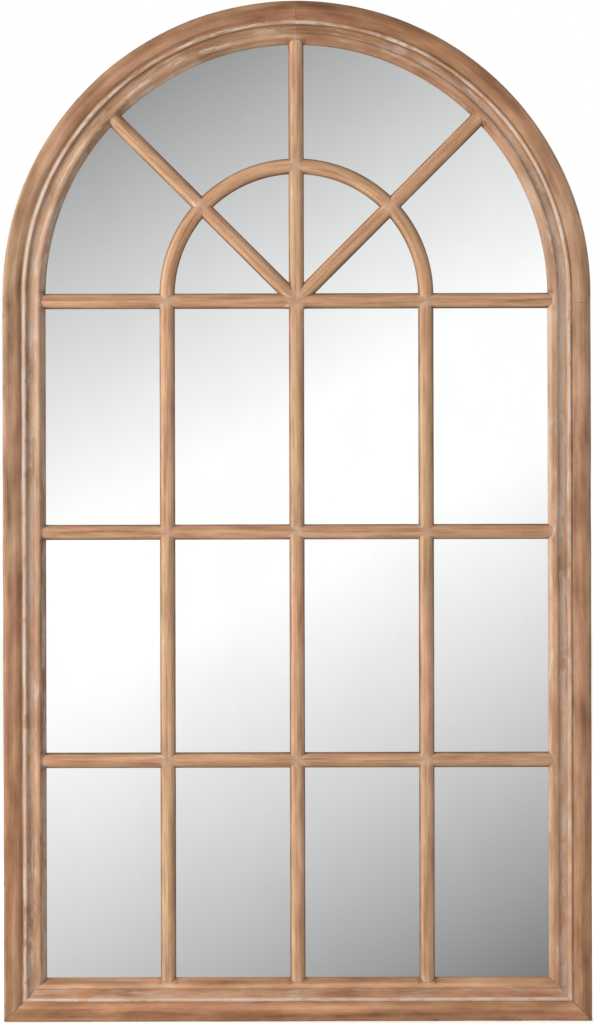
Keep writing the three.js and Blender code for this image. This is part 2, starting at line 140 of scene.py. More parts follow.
# Adds a shader node. Each input is a number, a colour or another node's output.
def put(tree, kind, inputs=None, **settings):
    made = tree.nodes.new("ShaderNode" + kind)
    for key, value in settings.items():
        setattr(made, key, value)
    for key, value in (inputs or {}).items():
        if isinstance(value, bpy.types.NodeSocket):
            tree.links.new(value, made.inputs[key])
        else:
            made.inputs[key].default_value = value
    return made


# The helpers below find their node tree from the first of their values that is a node's output.
def treeOf(*values):
    return next(value.id_data for value in values if isinstance(value, bpy.types.NodeSocket))


def maths(operation, first, second, clamp=False):
    return put(treeOf(first, second), "Math", {0: first, 1: second}, operation=operation,
               use_clamp=clamp).outputs[0]


def plus(first, second, clamp=False):
    return maths("ADD", first, second, clamp)


def minus(first, second, clamp=False):
    return maths("SUBTRACT", first, second, clamp)


def times(first, second):
    return maths("MULTIPLY", first, second)


# Adds up values, each multiplied by its share.
def sumOf(*pairs):
    total, *others = [times(value, share) for value, share in pairs]
    for other in others:
        total = plus(total, other)
    return total


def blendColour(share, first, second, kind="MIX"):
    return put(treeOf(share, first, second), "Mix", {0: share, 6: first, 7: second}, data_type="RGBA",
               blend_type=kind).outputs[2]


# Noise on coordinates stretched by a scale for each axis.
def noise(coords, scale, detail=4.0, rough=0.55, shift=(0, 0, 0)):
    tree = coords.id_data
    mapped = put(tree, "Mapping", {"Vector": coords, "Scale": scale, "Location": shift}).outputs[0]
    return put(tree, "TexNoise", {"Vector": mapped, "Scale": 1.0, "Detail": detail,
                                  "Roughness": rough}).outputs["Fac"]


# A value moved from one range to another and held inside it.
def remap(value, low, high, newLow=0.0, newHigh=1.0):
    return put(value.id_data, "MapRange", {"Value": value, "From Min": low, "From Max": high,
                                           "To Min": newLow, "To Max": newHigh}).outputs[0]


def ramp(factor, stops):
    made = put(factor.id_data, "ValToRGB", {"Fac": factor})
    elements = made.color_ramp.elements
    while len(elements) < len(stops):
        elements.new(0.5)
    for element, (place, colour) in zip(elements, stops):
        element.position = place
        element.color = colour
    return made.outputs["Color"]


# Gives the material its surface. bump is a height, a strength and a distance in metres.
def finished(material, colour, roughness, bump=None, metallic=0.0, specular=0.35):
    tree = material.node_tree
    shader = put(tree, "BsdfPrincipled", {"Base Color": colour, "Roughness": roughness,
                                          "Metallic": metallic, "Specular IOR Level": specular})
    if bump is not None:
        height, strength, distance = bump
        lifted = put(tree, "Bump", {"Height": height, "Strength": strength, "Distance": distance})
        tree.links.new(lifted.outputs[0], shader.inputs["Normal"])
    put(tree, "OutputMaterial", {"Surface": shader.outputs[0]})
    return material


frameLook = {
    "dark": paint(122, 84, 58), "middle": paint(163, 122, 92), "light": paint(192, 152, 120),
    "paleDark": paint(174, 134, 104), "paleLight": paint(222, 188, 160),
    "rosy": paint(255, 245, 246), "olive": paint(247, 249, 240),
    "streaks": (7, 330, 1), "bands": (2.4, 80, 1), "patches": (12, 40, 1), "weights": (0.2, 0.3, 0.5),
    "lime": paint(212, 197, 183), "limeGrey": paint(182, 158, 140), "limeShare": 0.84,
    "fillerDark": paint(150, 112, 84), "fillerLight": paint(180, 142, 114),
    # The darkest colour here is laid on both as dirt and as painted shade.
    "dirt": paint(92, 62, 40), "rawDark": paint(168, 130, 92), "rawLight": paint(206, 172, 130),
    "bump": 0.25,
}
barLook = {
    "dark": paint(144, 102, 74), "middle": paint(190, 147, 114), "light": paint(216, 176, 142),
    "paleDark": paint(198, 156, 122), "paleLight": paint(234, 200, 170),
    "rosy": paint(255, 243, 244), "olive": paint(246, 249, 238),
    "streaks": (16, 420, 1), "bands": (4, 150, 1), "patches": (14, 60, 1), "weights": (0.3, 0.34, 0.36),
    "lime": paint(222, 205, 188), "limeGrey": paint(190, 164, 142), "limeShare": 0.72,
    "fillerDark": paint(178, 138, 110), "fillerLight": paint(202, 162, 132),
    # The darkest colour here is laid on both as dirt and as painted shade.
    "dirt": paint(92, 72, 52), "rawDark": paint(168, 130, 92), "rawLight": paint(206, 172, 130),
    "bump": 0.12,
}


# The scales of the wood's noises along and across the grain, for each metre, and how strongly some of them show.
woodNoises = {
    "wander": (2.2, 14, 1), "wanderBy": 0.016, "casts": (3.5, 160, 1), "smears": (70, 70, 70),
    "pores": (26, 1150, 1), "poreDepth": 0.4, "lime": (48, 420, 1), "limePatches": (15, 90, 1),
    "limeSpread": 7.0, "limeGain": 2.2, "worn": (30, 45, 1), "wornLeft": 0.2, "dirt": (20, 160, 1),
    "sawn": (900, 6, 1), "bumpDepth": 0.0006,
}


# Stained wood with lime wash rubbed into its hollows. The finish attribute holds the shares of lime (red),
# dirt and painted shade (green), rubbed pale wood (blue) and bare back (alpha), and the stain attribute the tone
# that each length took up, with painted light on the roll's crown and flanks. The grain map runs along each piece.
def limedWood(name, look):
    n = woodNoises
    material, tree, place = newMaterial(name)
    grain = put(tree, "UVMap", uv_map="grain").outputs["UV"]
    finish = put(tree, "Attribute", attribute_name="finish").outputs
    shares = put(tree, "SeparateColor", {"Color": finish["Color"]}).outputs
    limeShare, dirtAndShadeShare, paleShare, bareShare = shares[0], shares[1], shares[2], finish["Alpha"]
    stain = put(tree, "Attribute", attribute_name="stain").outputs
    slow = noise(grain, n["wander"], detail=2.0)
    aside = put(tree, "CombineXYZ", {"Y": times(minus(slow, 0.5), n["wanderBy"])}).outputs[0]
    lines = put(tree, "VectorMath", {0: grain, 1: aside}, operation="ADD").outputs[0]

    streaks = noise(lines, look["streaks"], detail=5.0, rough=0.62)
    bands = noise(lines, look["bands"], detail=3.0, shift=(3.1, 7.7, 0))
    patches = noise(grain, look["patches"], detail=4.0, shift=(11.0, 2.0, 0))
    tone = sumOf(*zip((streaks, bands, patches), look["weights"]))
    stained = ramp(tone, [(0.37, look["dark"]), (0.5, look["middle"]), (0.63, look["light"])])
    rubbed = ramp(tone, [(0.37, look["paleDark"]), (0.62, look["paleLight"])])
    casts = noise(lines, n["casts"], detail=2.0, shift=(6.0, 3.0, 0))
    cast = ramp(casts, [(0.4, look["rosy"]), (0.6, look["olive"])])
    smears = noise(place, n["smears"], detail=3.0)
    putty = blendColour(remap(smears, 0.35, 0.65), look["fillerDark"], look["fillerLight"])
    colour = blendColour(paleShare, stained, rubbed)
    colour = blendColour(1.0, colour, cast, "MULTIPLY")
    colour = blendColour(minus(1.0, stain["Alpha"], clamp=True), colour, putty)
    colour = blendColour(1.0, colour, stain["Color"], "MULTIPLY")

    pores = remap(noise(lines, n["pores"], detail=2.0, shift=(5.0, 1.0, 0)), 0.6, 0.74, 0.0, n["poreDepth"])
    colour = blendColour(pores, colour, look["dark"])

    limeNoise = noise(lines, n["lime"], detail=4.0, rough=0.65, shift=(1.0, 9.0, 0))
    limePatch = noise(grain, n["limePatches"], detail=3.0, shift=(8.0, 4.0, 0))
    spread = times(minus(sumOf((limeNoise, 0.5), (limePatch, 0.5)), 0.5), n["limeSpread"])
    limed = minus(plus(times(limeShare, n["limeGain"]), spread), 1.0, clamp=True)
    worn = noise(grain, n["worn"], detail=4.0, rough=0.6, shift=(7.0, 5.0, 0))
    limed = times(times(limed, remap(worn, 0.4, 0.47, n["wornLeft"], 1.0)), look["limeShare"])
    whiter = plus(times(minus(paleShare, 0.3), 2.5), remap(limePatch, 0.35, 0.65, 0.0, 0.6), clamp=True)
    colour = blendColour(limed, colour, blendColour(whiter, look["limeGrey"], look["lime"]))

    # The green share darkens the wood both as dirt and as painted shade.
    dirtAndShadeNoise = noise(lines, n["dirt"], detail=3.0, shift=(2.0, 6.0, 0))
    colour = blendColour(times(dirtAndShadeShare, remap(dirtAndShadeNoise, 0.3, 0.6, 0.45, 1.0)), colour, look["dirt"])

    sawn = noise(grain, n["sawn"], detail=2.0, shift=(4.0, 4.0, 0))
    bare = ramp(sumOf((tone, 0.8), (sawn, 0.2)), [(0.36, look["rawDark"]), (0.6, look["rawLight"])])
    colour = blendColour(bareShare, colour, bare)

    relief = minus(sumOf((streaks, 0.7), (limed, 0.5), (times(sawn, bareShare), 0.9)), pores)
    return finished(material, colour, remap(streaks, 0.3, 0.7, 0.6, 0.8),
                    (relief, look["bump"], n["bumpDepth"]), specular=0.28)


joinerLook = {"dark": paint(176, 138, 96), "light": paint(222, 190, 146)}


# Planed beech: fine lines along the object's X and Z, with short darker flecks.
def planedBeech(name):
    material, tree, place = newMaterial(name)
    lines = noise(place, (60, 700, 60), detail=4.0)
    flecks = noise(place, (500, 1500, 500), detail=2.0)
    colour = ramp(lines, [(0.35, joinerLook["dark"]), (0.65, joinerLook["light"])])
    colour = blendColour(remap(flecks, 0.62, 0.72, 0.0, 0.5), colour, joinerLook["dark"])
    return finished(material, colour, remap(lines, 0.3, 0.7, 0.55, 0.75), (lines, 0.2, 0.0004))


glassLook = {"silver": paint(247, 248, 248), "smear": paint(241, 243, 243),
             "polish": 0.0, "smearRoughness": 0.035}


# Silvered glass: a clean mirror with the faintest smears of polish.
def silveredGlass(name):
    material, tree, place = newMaterial(name)
    smears = noise(place, (5, 1, 2.5), detail=6.0, rough=0.7)
    colour = blendColour(remap(smears, 0.45, 0.8), glassLook["silver"], glassLook["smear"])
    roughness = remap(smears, 0.5, 0.85, glassLook["polish"], glassLook["smearRoughness"])
    return finished(material, colour, roughness, metallic=1.0, specular=0.5)


boardLook = {"dark": paint(112, 82, 56), "middle": paint(141, 107, 76), "light": paint(166, 131, 96)}


# Hardboard: pressed fibres seen as short crossing threads, over a slow change of tone.
def pressedBoard(name):
    material, tree, place = newMaterial(name)
    slow = noise(place, (3, 3, 3), detail=3.0)
    oneWay = noise(place, (1500, 300, 260), detail=3.0)
    otherWay = noise(place, (260, 300, 1500), detail=3.0, shift=(3, 5, 7))
    threads = maths("MAXIMUM", oneWay, otherWay)
    colour = ramp(sumOf((slow, 0.35), (threads, 0.65)),
                  [(0.4, boardLook["dark"]), (0.54, boardLook["middle"]), (0.68, boardLook["light"])])
    return finished(material, colour, remap(threads, 0.4, 0.7, 0.7, 0.92), (threads, 0.4, 0.0003))


zincLook = {"dull": paint(150, 149, 142), "bright": paint(202, 202, 196), "stain": paint(128, 118, 100)}


# Zinc plate: a brushed sheen, cloudy passivation and a little staining.
def zincPlate(name, brushScale):
    material, tree, place = newMaterial(name)
    clouds = noise(place, (160, 160, 160), detail=4.0)
    brushed = noise(place, brushScale, detail=3.0)
    stains = noise(place, (420, 420, 420), detail=5.0, shift=(2, 8, 5))
    colour = ramp(clouds, [(0.35, zincLook["dull"]), (0.65, zincLook["bright"])])
    colour = blendColour(remap(stains, 0.58, 0.75, 0.0, 0.55), colour, zincLook["stain"])
    roughness = plus(remap(brushed, 0.3, 0.7, 0.24, 0.42), remap(stains, 0.5, 0.8, 0.0, 0.2))
    return finished(material, colour, roughness, (brushed, 0.12, 0.0002), metallic=1.0, specular=0.5)


rubberLook = {"dark": paint(38, 37, 35), "worn": paint(66, 64, 60)}


# Moulded rubber: a fine matt grain, paler where it has picked up dust.
def mouldedRubber(name):
    material, tree, place = newMaterial(name)
    matt = noise(place, (2200, 2200, 2200), detail=3.0)
    dust = noise(place, (240, 240, 240), detail=4.0)
    colour = blendColour(remap(dust, 0.5, 0.7), rubberLook["dark"], rubberLook["worn"])
    return finished(material, colour, remap(matt, 0.3, 0.7, 0.75, 0.95), (matt, 0.3, 0.0002))


limedFrameWood = limedWood("limedFrameWood", frameLook)
limedBarWood = limedWood("limedBarWood", barLook)
planedJoiners = planedBeech("planedJoiners")
mirrorSilver = silveredGlass("mirrorSilver")
hardboard = pressedBoard("hardboard")
zincSheet = zincPlate("zincSheet", (300, 300, 2600))
zincScrew = zincPlate("zincScrew", (900, 900, 900))
padRubber = mouldedRubber("padRubber")
print("materials made")


# A hump of height 1 that falls off as exp(-(distance / reach)^2).
def bell(distance, reach):
    return np.exp(-(distance / reach) ** 2)


# From 0 to 1 while the distance goes from 0 to the reach, and level before and after.
def rise(distance, reach):
    return np.clip(distance / reach, 0, 1)


# A quadratic curve: (1-t)^2 start + 2t(1-t) control + t^2 end, for t from 0 to 1.
def curvePoints(start, control, end, steps=24):
    t = np.linspace(0, 1, steps + 1)[:, None]
    return (1 - t) ** 2 * np.array(start) + 2 * t * (1 - t) * np.array(control) + t ** 2 * np.array(end)


# Reads columns of values at places between their points.
def between(index, places, *columns):
    return np.column_stack([np.interp(index, places, column) for column in columns])


# How far along a line of points each of them lies.
def reachAlong(line):
    return np.concatenate([[0], np.cumsum(np.hypot(*np.diff(line, axis=0).T))])


# Turns a closed outline into a section: it is softened by a Gaussian blur along its length, which eases
# every arris, and sampled so that points crowd where it bends and thin out where it is flat.
def sectionOf(outline, count, soften, crowd, samples=3000):
    closed = np.vstack([outline, outline[:1]])
    reach = reachAlong(closed)
    raw = between(np.linspace(0, reach[-1], samples, endpoint=False), reach, *closed.T)
    waves = np.fft.fftfreq(samples, d=reach[-1] / samples)
    blur = np.exp(-2 * (np.pi * waves * soften) ** 2)[:, None]
    smooth = np.real(np.fft.ifft(np.fft.fft(raw, axis=0) * blur, axis=0))
    ahead = np.roll(smooth, -1, axis=0) - np.roll(smooth, 1, axis=0)
    ahead /= np.hypot(*ahead.T)[:, None]
    area = np.sum(smooth[:, 0] * np.roll(smooth[:, 1], -1) - np.roll(smooth[:, 0], -1) * smooth[:, 1])
    outwards = np.column_stack([ahead[:, 1], -ahead[:, 0]]) * np.sign(area)
    turn = np.roll(ahead, -1, axis=0) - ahead
    bend = np.hypot(*turn.T) * samples / reach[-1]
    weight = np.concatenate([[0], np.cumsum(1 + crowd * bend)])
    index = np.interp(np.linspace(0, weight[-1], count, endpoint=False), weight, np.arange(samples + 1))
    ring = np.arange(samples + 1)
    points, normals = (between(index, ring, *np.vstack([line, line[:1]]).T) for line in (smooth, outwards))
    return {"points": points, "normals": normals, "across": index / samples * reach[-1], "length": reach[-1]}


# A sum of slanting sine waves of random length and phase, over the sum's usual spread.
def waver(along, across, seed, amount, lengths, widths, waves=9):
    random = np.random.default_rng(seed)
    total = np.zeros(np.broadcast(along, across).shape)
    for _ in range(waves):
        pace = 2 * np.pi / random.uniform(*lengths)
        slant = random.choice([-1, 1]) * 2 * np.pi / random.uniform(*widths)
        total += np.sin(pace * along + slant * across + random.uniform(0, 2 * np.pi))
    return amount * total / math.sqrt(waves)


# Round dents of random size: each is a Gaussian hollow at a random place on the piece.
def dents(along, across, seed, count, depth, size, reach, band):
    random = np.random.default_rng(seed)
    total = np.zeros(np.broadcast(along, across).shape)
    for _ in range(count):
        atAlong, atAcross = random.uniform(0, reach), random.uniform(*band)
        wide = random.uniform(*size)
        long = wide * random.uniform(1, 2.5)
        deep = depth * random.uniform(0.4, 1)
        total += deep * np.exp(-((along - atAlong) / long) ** 2 - ((across - atAcross) / wide) ** 2)
    return total


# Places from 0 to 1 along a piece: an even spacing, with more of them in the eased millimetre at each end
# and at the given distances from both ends.
def placesAlong(length, spacing, ease, extra):
    near = np.concatenate([np.array([0, 0.12, 0.3, 0.6, 1.0, 2.0]) * ease, extra]) / length
    middle = np.linspace(near[-1], 1 - near[-1], max(3, int(length / spacing)))
    return np.concatenate([near[:-1], middle, 1 - near[-2::-1]])


# Where bars cross, the valleys between them are filled: about each crossing the face is never lower than
# top - fall * max(0, distance - flat)^2, and the two are blended by a soft maximum.
def filled(x, z, height):
    onFace = height > lipFront - bars["fillDepth"]
    for crossX, crossZ, flat in crossings:
        beyond = np.maximum(np.hypot(x - crossX, z - crossZ) - flat, 0)
        gapAbove = bars["fillTop"] - bars["fillFall"] * beyond ** 2 - height
        raised = height + (gapAbove + np.sqrt(gapAbove ** 2 + bars["fillBlend"])) / 2
        height = np.where(onFace, raised, height)
    return height


# The filler smeared over each crossing: all of it within a share of the crossing's flat, less and less beyond.
def filler(x, z, height):
    share = np.zeros(x.shape)
    for crossX, crossZ, flat in crossings:
        beyond = np.maximum(np.hypot(x - crossX, z - crossZ) - flat * bars["smearShare"], 0)
        share = np.maximum(share, bell(beyond, bars["smearReach"]))
    return bars["smear"] * share * rise(height - 19, 3)


# The stain's multiplier at a level: its depth, and less green and blue the warmer it is.
def stainAt(stain, level):
    depth, warmth = (np.interp(level, stain["at"], stain[key]) for key in ("depth", "warmth"))
    return np.stack([depth, depth * (1 - warmth), depth * (1 - 2 * warmth)], axis=-1)


# Carries a section along a path. Each of its points has a start and an end of its own, so that mitres and
# copes come out exactly. Near both ends the section sinks along a quarter circle, which eases the arris.
# The stain follows the level and wavers slowly along the piece, and touch changes the finish and the tint
# from place to place. run is the board the piece was cut from: its seed, which way the piece lies in it, and
# how far along it starts, so that the grain and the tone run on from one piece to the next.
def carry(name, node, section, path, starts, ends, look, seed, stain, touch, run=None, pairedCaps=False):
    points, normals, across = section["points"], section["normals"], section["across"]
    count = len(points)
    starts, ends = np.broadcast_to(starts, count), np.broadcast_to(ends, count)
    length = float(np.mean(ends - starts))
    t = placesAlong(length, look["spacing"], look["ease"], look["extraPlaces"])[:, None]
    along = starts + (ends - starts) * t
    edge = np.clip(1 - np.minimum(t, 1 - t) * length / look["ease"], 0, 1)
    sink = look["ease"] * (1 - np.sqrt(1 - edge ** 2)) * section["easing"]
    board, way, offset = run or (seed, 1, 0.0)
    alongBoard = way * along + offset
    uneven = waver(alongBoard, across, board, look["uneven"], (70, 420), (30, 160))
    uneven -= dents(along, across, seed + 500, look["dents"], look["dentDepth"], (1.2, 3.2), length,
                    look["dentBand"])
    push = uneven * rise(points[:, 1] - lipFront, 4) - sink
    x, z = path(along, points[:, 0] + normals[:, 0] * push)
    height = points[:, 1] + normals[:, 1] * push
    if "fillTop" in look:
        height = filled(x, z, height)
    rows = len(t)
    placed = np.stack([x, -height, z], axis=-1).reshape(-1, 3)
    alongGrain = alongBoard + look["firstBoard"] + board * look["boardSpacing"]
    grain = np.stack([alongGrain, np.broadcast_to(across, along.shape)], axis=-1)
    finish = np.array(np.broadcast_to(section["finish"], (rows, count, 4)))
    slow = waver(alongBoard, across, board + 40, look["stainWaver"], (90, 500), (60, 300))
    # On the moulding the section's tone is painted light on the roll.
    tint = section["tone"][:, None] * (1 + slow[..., None] * np.array([0.8, 1.0, 1.2])) * stainAt(stain, z)
    touch(finish, tint, along - starts, ends - along, z)
    plain = 1 - filler(x, z, height) if "fillTop" in look else np.ones((rows, count))
    tints = np.concatenate([tint, plain[..., None]], axis=-1)
    paints = {"finish": np.clip(finish, 0, 1).reshape(-1, 4), "stain": tints.reshape(-1, 4)}
    last = (rows - 1) * count
    if pairedCaps:
        caps = pairedCap(0, count) + pairedCap(last, count)
    else:
        caps = [list(range(count)), list(range(last, last + count))]
    piece = makePiece(name, placed, gridQuads(rows, count), caps, grain.reshape(-1, 2), section["length"],
                      paints)
    return settle(piece, node, look["material"])


# Closes the end of a section that is symmetrical about its first point: each strip joins two points of one
# side to their images on the other.
def pairedCap(first, count):
    half = count // 2
    end = first + count
    strips = [[first + i, first + i + 1, end - i - 1, end - i] for i in range(1, half - 1)]
    return [[first, first + 1, end - 1], *strips, [first + half - 1, first + half, first + half + 1]]


moulding = {
    "rollWidth": 25, "rollCrown": 12, "rollShoulder": 7, "rollInset": 2,
    "grooveWidth": 1.7, "grooveDrop": 5.4,
    "beadWidth": 6.3, "beadDrop": 3.3, "beadFoot": 7.1,
    "coveWidth": 11.5, "coveDrop": 10, "coveEnd": 8.4, "coveHollow": 1 / 3,
    "noseWidth": 8, "noseDrop": 5.6, "noseEnd": 8.2, "noseEase": 1, "faceLow": 17.3,
    "points": 128, "soften": 0.32, "crowd": 2.2, "extraPlaces": (), "spacing": 4.0, "ease": 0.6,
    "easedTo": 24, "lessEasedFrom": 27, "lessEasing": 0.3,
    "uneven": 0.16, "dents": 14, "dentDepth": 0.35, "dentBand": (40, 130), "stainWaver": 0.045,
    "firstBoard": 0.0, "boardSpacing": 1370.0, "slot": "limed_wood", "material": limedFrameWood,
}
# Shares of lime, dirt and painted shade, and rubbed pale wood over the moulding's face, by the distance from its
# outer edge: the darkening at the outer arris is painted shade, and the face also darkens towards the glass.
faceFinish = {
    "at": [0, 8, 18, 22.5, 24.6, 26.2, 27.6, 29, 31.2, 32.6, 33.6,
           36, 41, 43.6, 45, 46.5, 49.5, 51.5, 53, 56, 57.6, 58.5],
    "lime": [0, 0, 0, 0.1, 0.4, 0.42, 0.66, 0.96, 0.96, 0.74, 0.6,
             0.56, 0.56, 0.6, 0.5, 0.4, 0.34, 0.25, 0.22, 0.25, 0.35, 0.35],
    "dirt": [0.1, 0, 0, 0.05, 0, 0, 0, 0, 0, 0, 0.05,
             0, 0, 0, 0, 0, 0, 0.05, 0.1, 0.1, 0.15, 0.3],
    "pale": [0.3, 0, 0.1, 0.05, 0.1, 0.1, 0.2, 0.5, 0.5, 0.4, 0.15,
             0.15, 0.2, 0.3, 0.4, 0.5, 0.5, 0.4, 0.2, 0.3, 0.4, 0.4],
}
# A multiplier on the stain over the same face, which is painted light on the roll: painted shade on its outer
# flank, a painted highlight on its crown and a lighter inner flank.
facePaintedLight = {"at": [0, 3, 8, 11, 14.5, 18, 21, 24, 58.5],
            "tone": [1.0, 0.96, 0.89, 0.93, 1.02, 1.0, 1.04, 1.06, 1.0]}
# How deep and how warm the stain dried, by the level above the arch's centre: the left stile and the left
# half of the arch took it up as one, and so did the right ones.
frameStains = {
    "left": {"at": [-960, -850, -700, -520, -400, -230, -60, 60, 160, 240, 350, 400],
             "depth": [0.98, 0.91, 1.06, 0.89, 0.98, 1.03, 1.03, 1.03, 1.18, 0.9, 0.88, 0.92],
             "warmth": [0.02, 0.05, 0.005, 0.015, -0.045, -0.085, -0.11, -0.085, -0.1, 0, 0.03, 0.045]},
    "right": {"at": [-960, -850, -700, -520, -400, -320, -200, -60, 40, 125, 220, 330, 375, 400],
              "depth": [1.03, 1.08, 1.09, 1.03, 1.07, 1.01, 1.1, 1.13, 1.09, 1.04, 1.06, 0.85, 0.78, 0.85],
              "warmth": [0.045, 0.03, 0.01, 0.005, 0, -0.025, -0.06, -0.08, -0.07, -0.07, 0.015, 0.09,
                         0.1, 0.085]},
    "rail": {"at": [0], "depth": [1.2], "warmth": [0.05]},
}
# Where lime settled more or less than on the rest, each a stretch of the face given by its centre and reach,
# with what is added at the start and at the end of each length of moulding.
faceStretches = {"groove": (25.5, 1.5), "bead": (30.5, 1.8), "beadFoot": (33.7, 1.2), "cove": (38.5, 3),
                 "coveEnd": (42.6, 1.6), "nose": (47.5, 2), "slope": (55, 3.5)}
limeLeanings = {
    "left_stile": {"bead": (0.04, 0.08), "beadFoot": (0.28, 0.28), "cove": (0.28, 0.24),
                   "coveEnd": (-0.14, -0.16), "nose": (-0.34, 0.02), "slope": (0.76, 0.2)},
    "right_stile": {"groove": (0.1, 0.2), "bead": (-0.42, -0.34), "beadFoot": (-0.16, -0.08),
                    "cove": (0.26, 0.5), "coveEnd": (0.3, 0.46), "slope": (0.06, 0.1)},
    "bottom_rail": {"beadFoot": (0, -0.1), "cove": (0.04, -0.16), "nose": (0.16, -0.3), "slope": (0.1, -0.5)},
    "arch_left": {"bead": (0.1, -0.56), "cove": (0.22, -0.12), "coveEnd": (-0.14, -0.1), "nose": (0.04, 0),
                  "slope": (0.66, 0.1)},
    "arch_right": {"bead": (0, -0.24), "cove": (0.46, -0.1), "coveEnd": (0.42, 0), "nose": (0.04, -0.04),
                   "slope": (0.2, 0.12)},
}
# Beside each bar's end, the corners are darkened as painted shade and the nose at its tip is lightened with lime as
# a painted highlight. Nicks have darkened the outer arris, and each mitre is dirty at the rim and limed over the
# bead and the cove.
barMeetings = {"dirt": 0.75, "cornerShadeReach": 2.4, "beside": 0.6, "innerFrom": 50.5, "innerFade": 1.5,
               "lime": 0.45, "highlightReach": 7.5, "limeAt": 51.5, "highlightWidth": 2.2}
nicks = {"count": 30, "dirt": 0.8, "reach": (1.0, 4.5), "width": (2, 5), "lowest": 27.5, "fade": 4}
mitreMarks = {"reach": 5.0, "dirt": 0.6, "rim": 7, "rimFade": 4, "lime": 0.4, "limeFrom": 26, "limeTo": 46}
# Painted light on the roll: a painted highlight along its crown above a level, and painted light and shade across
# its two flanks, which turn over at a distance inwards.
rollPaintedLight = {"crownAt": 14, "crownReach": 3, "level": -450, "fade": 250, "turnsAt": 12}
# The right stile's inner slope was rubbed pale along its whole length.
rightSlope = {"start": 52, "fade": 1.5, "lime": 0.12, "clean": 0.8, "pale": 0.55}
# Round the arch, the bead's inner foot is darkened and loses its lime, more and more above a level.
darkFoot = {"at": 33.6, "reach": 1.1, "level": 20, "fade": 250, "clean": 0.8, "dirt": 0.5}
# Between two short cracks in the left half of the arch its inner slope has been rubbed pale.
leftSlope = {"cracks": (110.6, 129.4), "start": 50, "fade": 2, "clean": 0.85, "pale": 0.7,
             "crackDirt": 0.35, "crackReach": 2.5, "crackStart": 46}

# The frame's outline: x runs inwards from its outer edge, y is the height. Roll, groove, bead, cove and nose
# are quadratic curves, and the slope, lip, rabbet and back are straight.
def mouldingSection():
    m = moulding
    back, front, face = mirrorSize["frameBack"], mirrorSize["frameFront"], mirrorSize["faceWidth"]
    groove = m["rollWidth"]
    bead = groove + m["grooveWidth"]
    cove = bead + m["beadWidth"]
    nose = cove + m["coveWidth"]
    slope = nose + m["noseWidth"]
    rabbet = face - mirrorSize["rabbetWidth"]
    grooveFloor, beadTop, noseTop = front - m["grooveDrop"], front - m["beadDrop"], front - m["noseDrop"]
    beadFoot, coveEnd, noseEnd = front - m["beadFoot"], front - m["coveEnd"], front - m["noseEnd"]
    beadCrown, noseCrown = (bead + m["beadWidth"] / 2, beadTop), (nose + m["noseWidth"] / 2, noseTop)
    outline = np.vstack([
        [(rabbet, back), (0, back)],
        curvePoints((0, front - m["rollShoulder"]), (0, front), (m["rollCrown"], front)),
        curvePoints((m["rollCrown"], front), (groove - m["rollInset"], front), (groove, grooveFloor)),
        curvePoints((bead, grooveFloor), (bead, beadTop), beadCrown),
        curvePoints(beadCrown, (cove, beadTop), (cove, beadFoot)),
        curvePoints((cove, beadFoot), (cove + m["coveWidth"] * m["coveHollow"], front - m["coveDrop"]),
                    (nose, coveEnd)),
        curvePoints((nose, coveEnd), (nose, noseTop), noseCrown),
        curvePoints(noseCrown, (slope - m["noseEase"], noseTop), (slope, noseEnd)),
        [(face, lipFront), (face, rabbetFloor), (rabbet, rabbetFloor)],
    ])
    section = sectionOf(outline, m["points"], m["soften"], m["crowd"])
    inwards, height = section["points"].T
    facing = section["normals"][:, 1]
    shown = rise(height - 14, 4) * (facing > -0.5)
    bare = rise(-facing * 2, 1) + (height < rabbetFloor + 0.3) * (inwards > 40)
    shares = [np.interp(inwards, faceFinish["at"], faceFinish[key]) * shown
              for key in ("lime", "dirt", "pale")]
    section["finish"] = np.column_stack([*shares, np.clip(bare, 0, 1)])
    # The section's tone is painted light on the roll.
    section["tone"] = np.interp(inwards, facePaintedLight["at"], facePaintedLight["tone"])
    section["easing"] = np.interp(inwards, [m["easedTo"], m["lessEasedFrom"]], [1.0, m["lessEasing"]])
    return section


mouldingShape = mouldingSection()
acrossFace, faceHeight = mouldingShape["points"].T
onFace = faceHeight > moulding["faceLow"]


def leftStilePath(along, inwards):
    return -outerRadius + inwards, frameBottom + along


def rightStilePath(along, inwards):
    return outerRadius - inwards, frameBottom + along


def railPath(along, inwards):
    return -outerRadius + along, frameBottom + inwards


# Half of the arch: straight up for the foot's length, then round the arch's centre.
def archPath(side):
    footLength = -springJoint - gap / 2
    def follow(along, inwards):
        angle = np.maximum(along - footLength, 0) / outerRadius
        reach = outerRadius - inwards
        return side * reach * np.cos(angle), np.minimum(along - footLength, 0) + reach * np.sin(angle)
    return follow
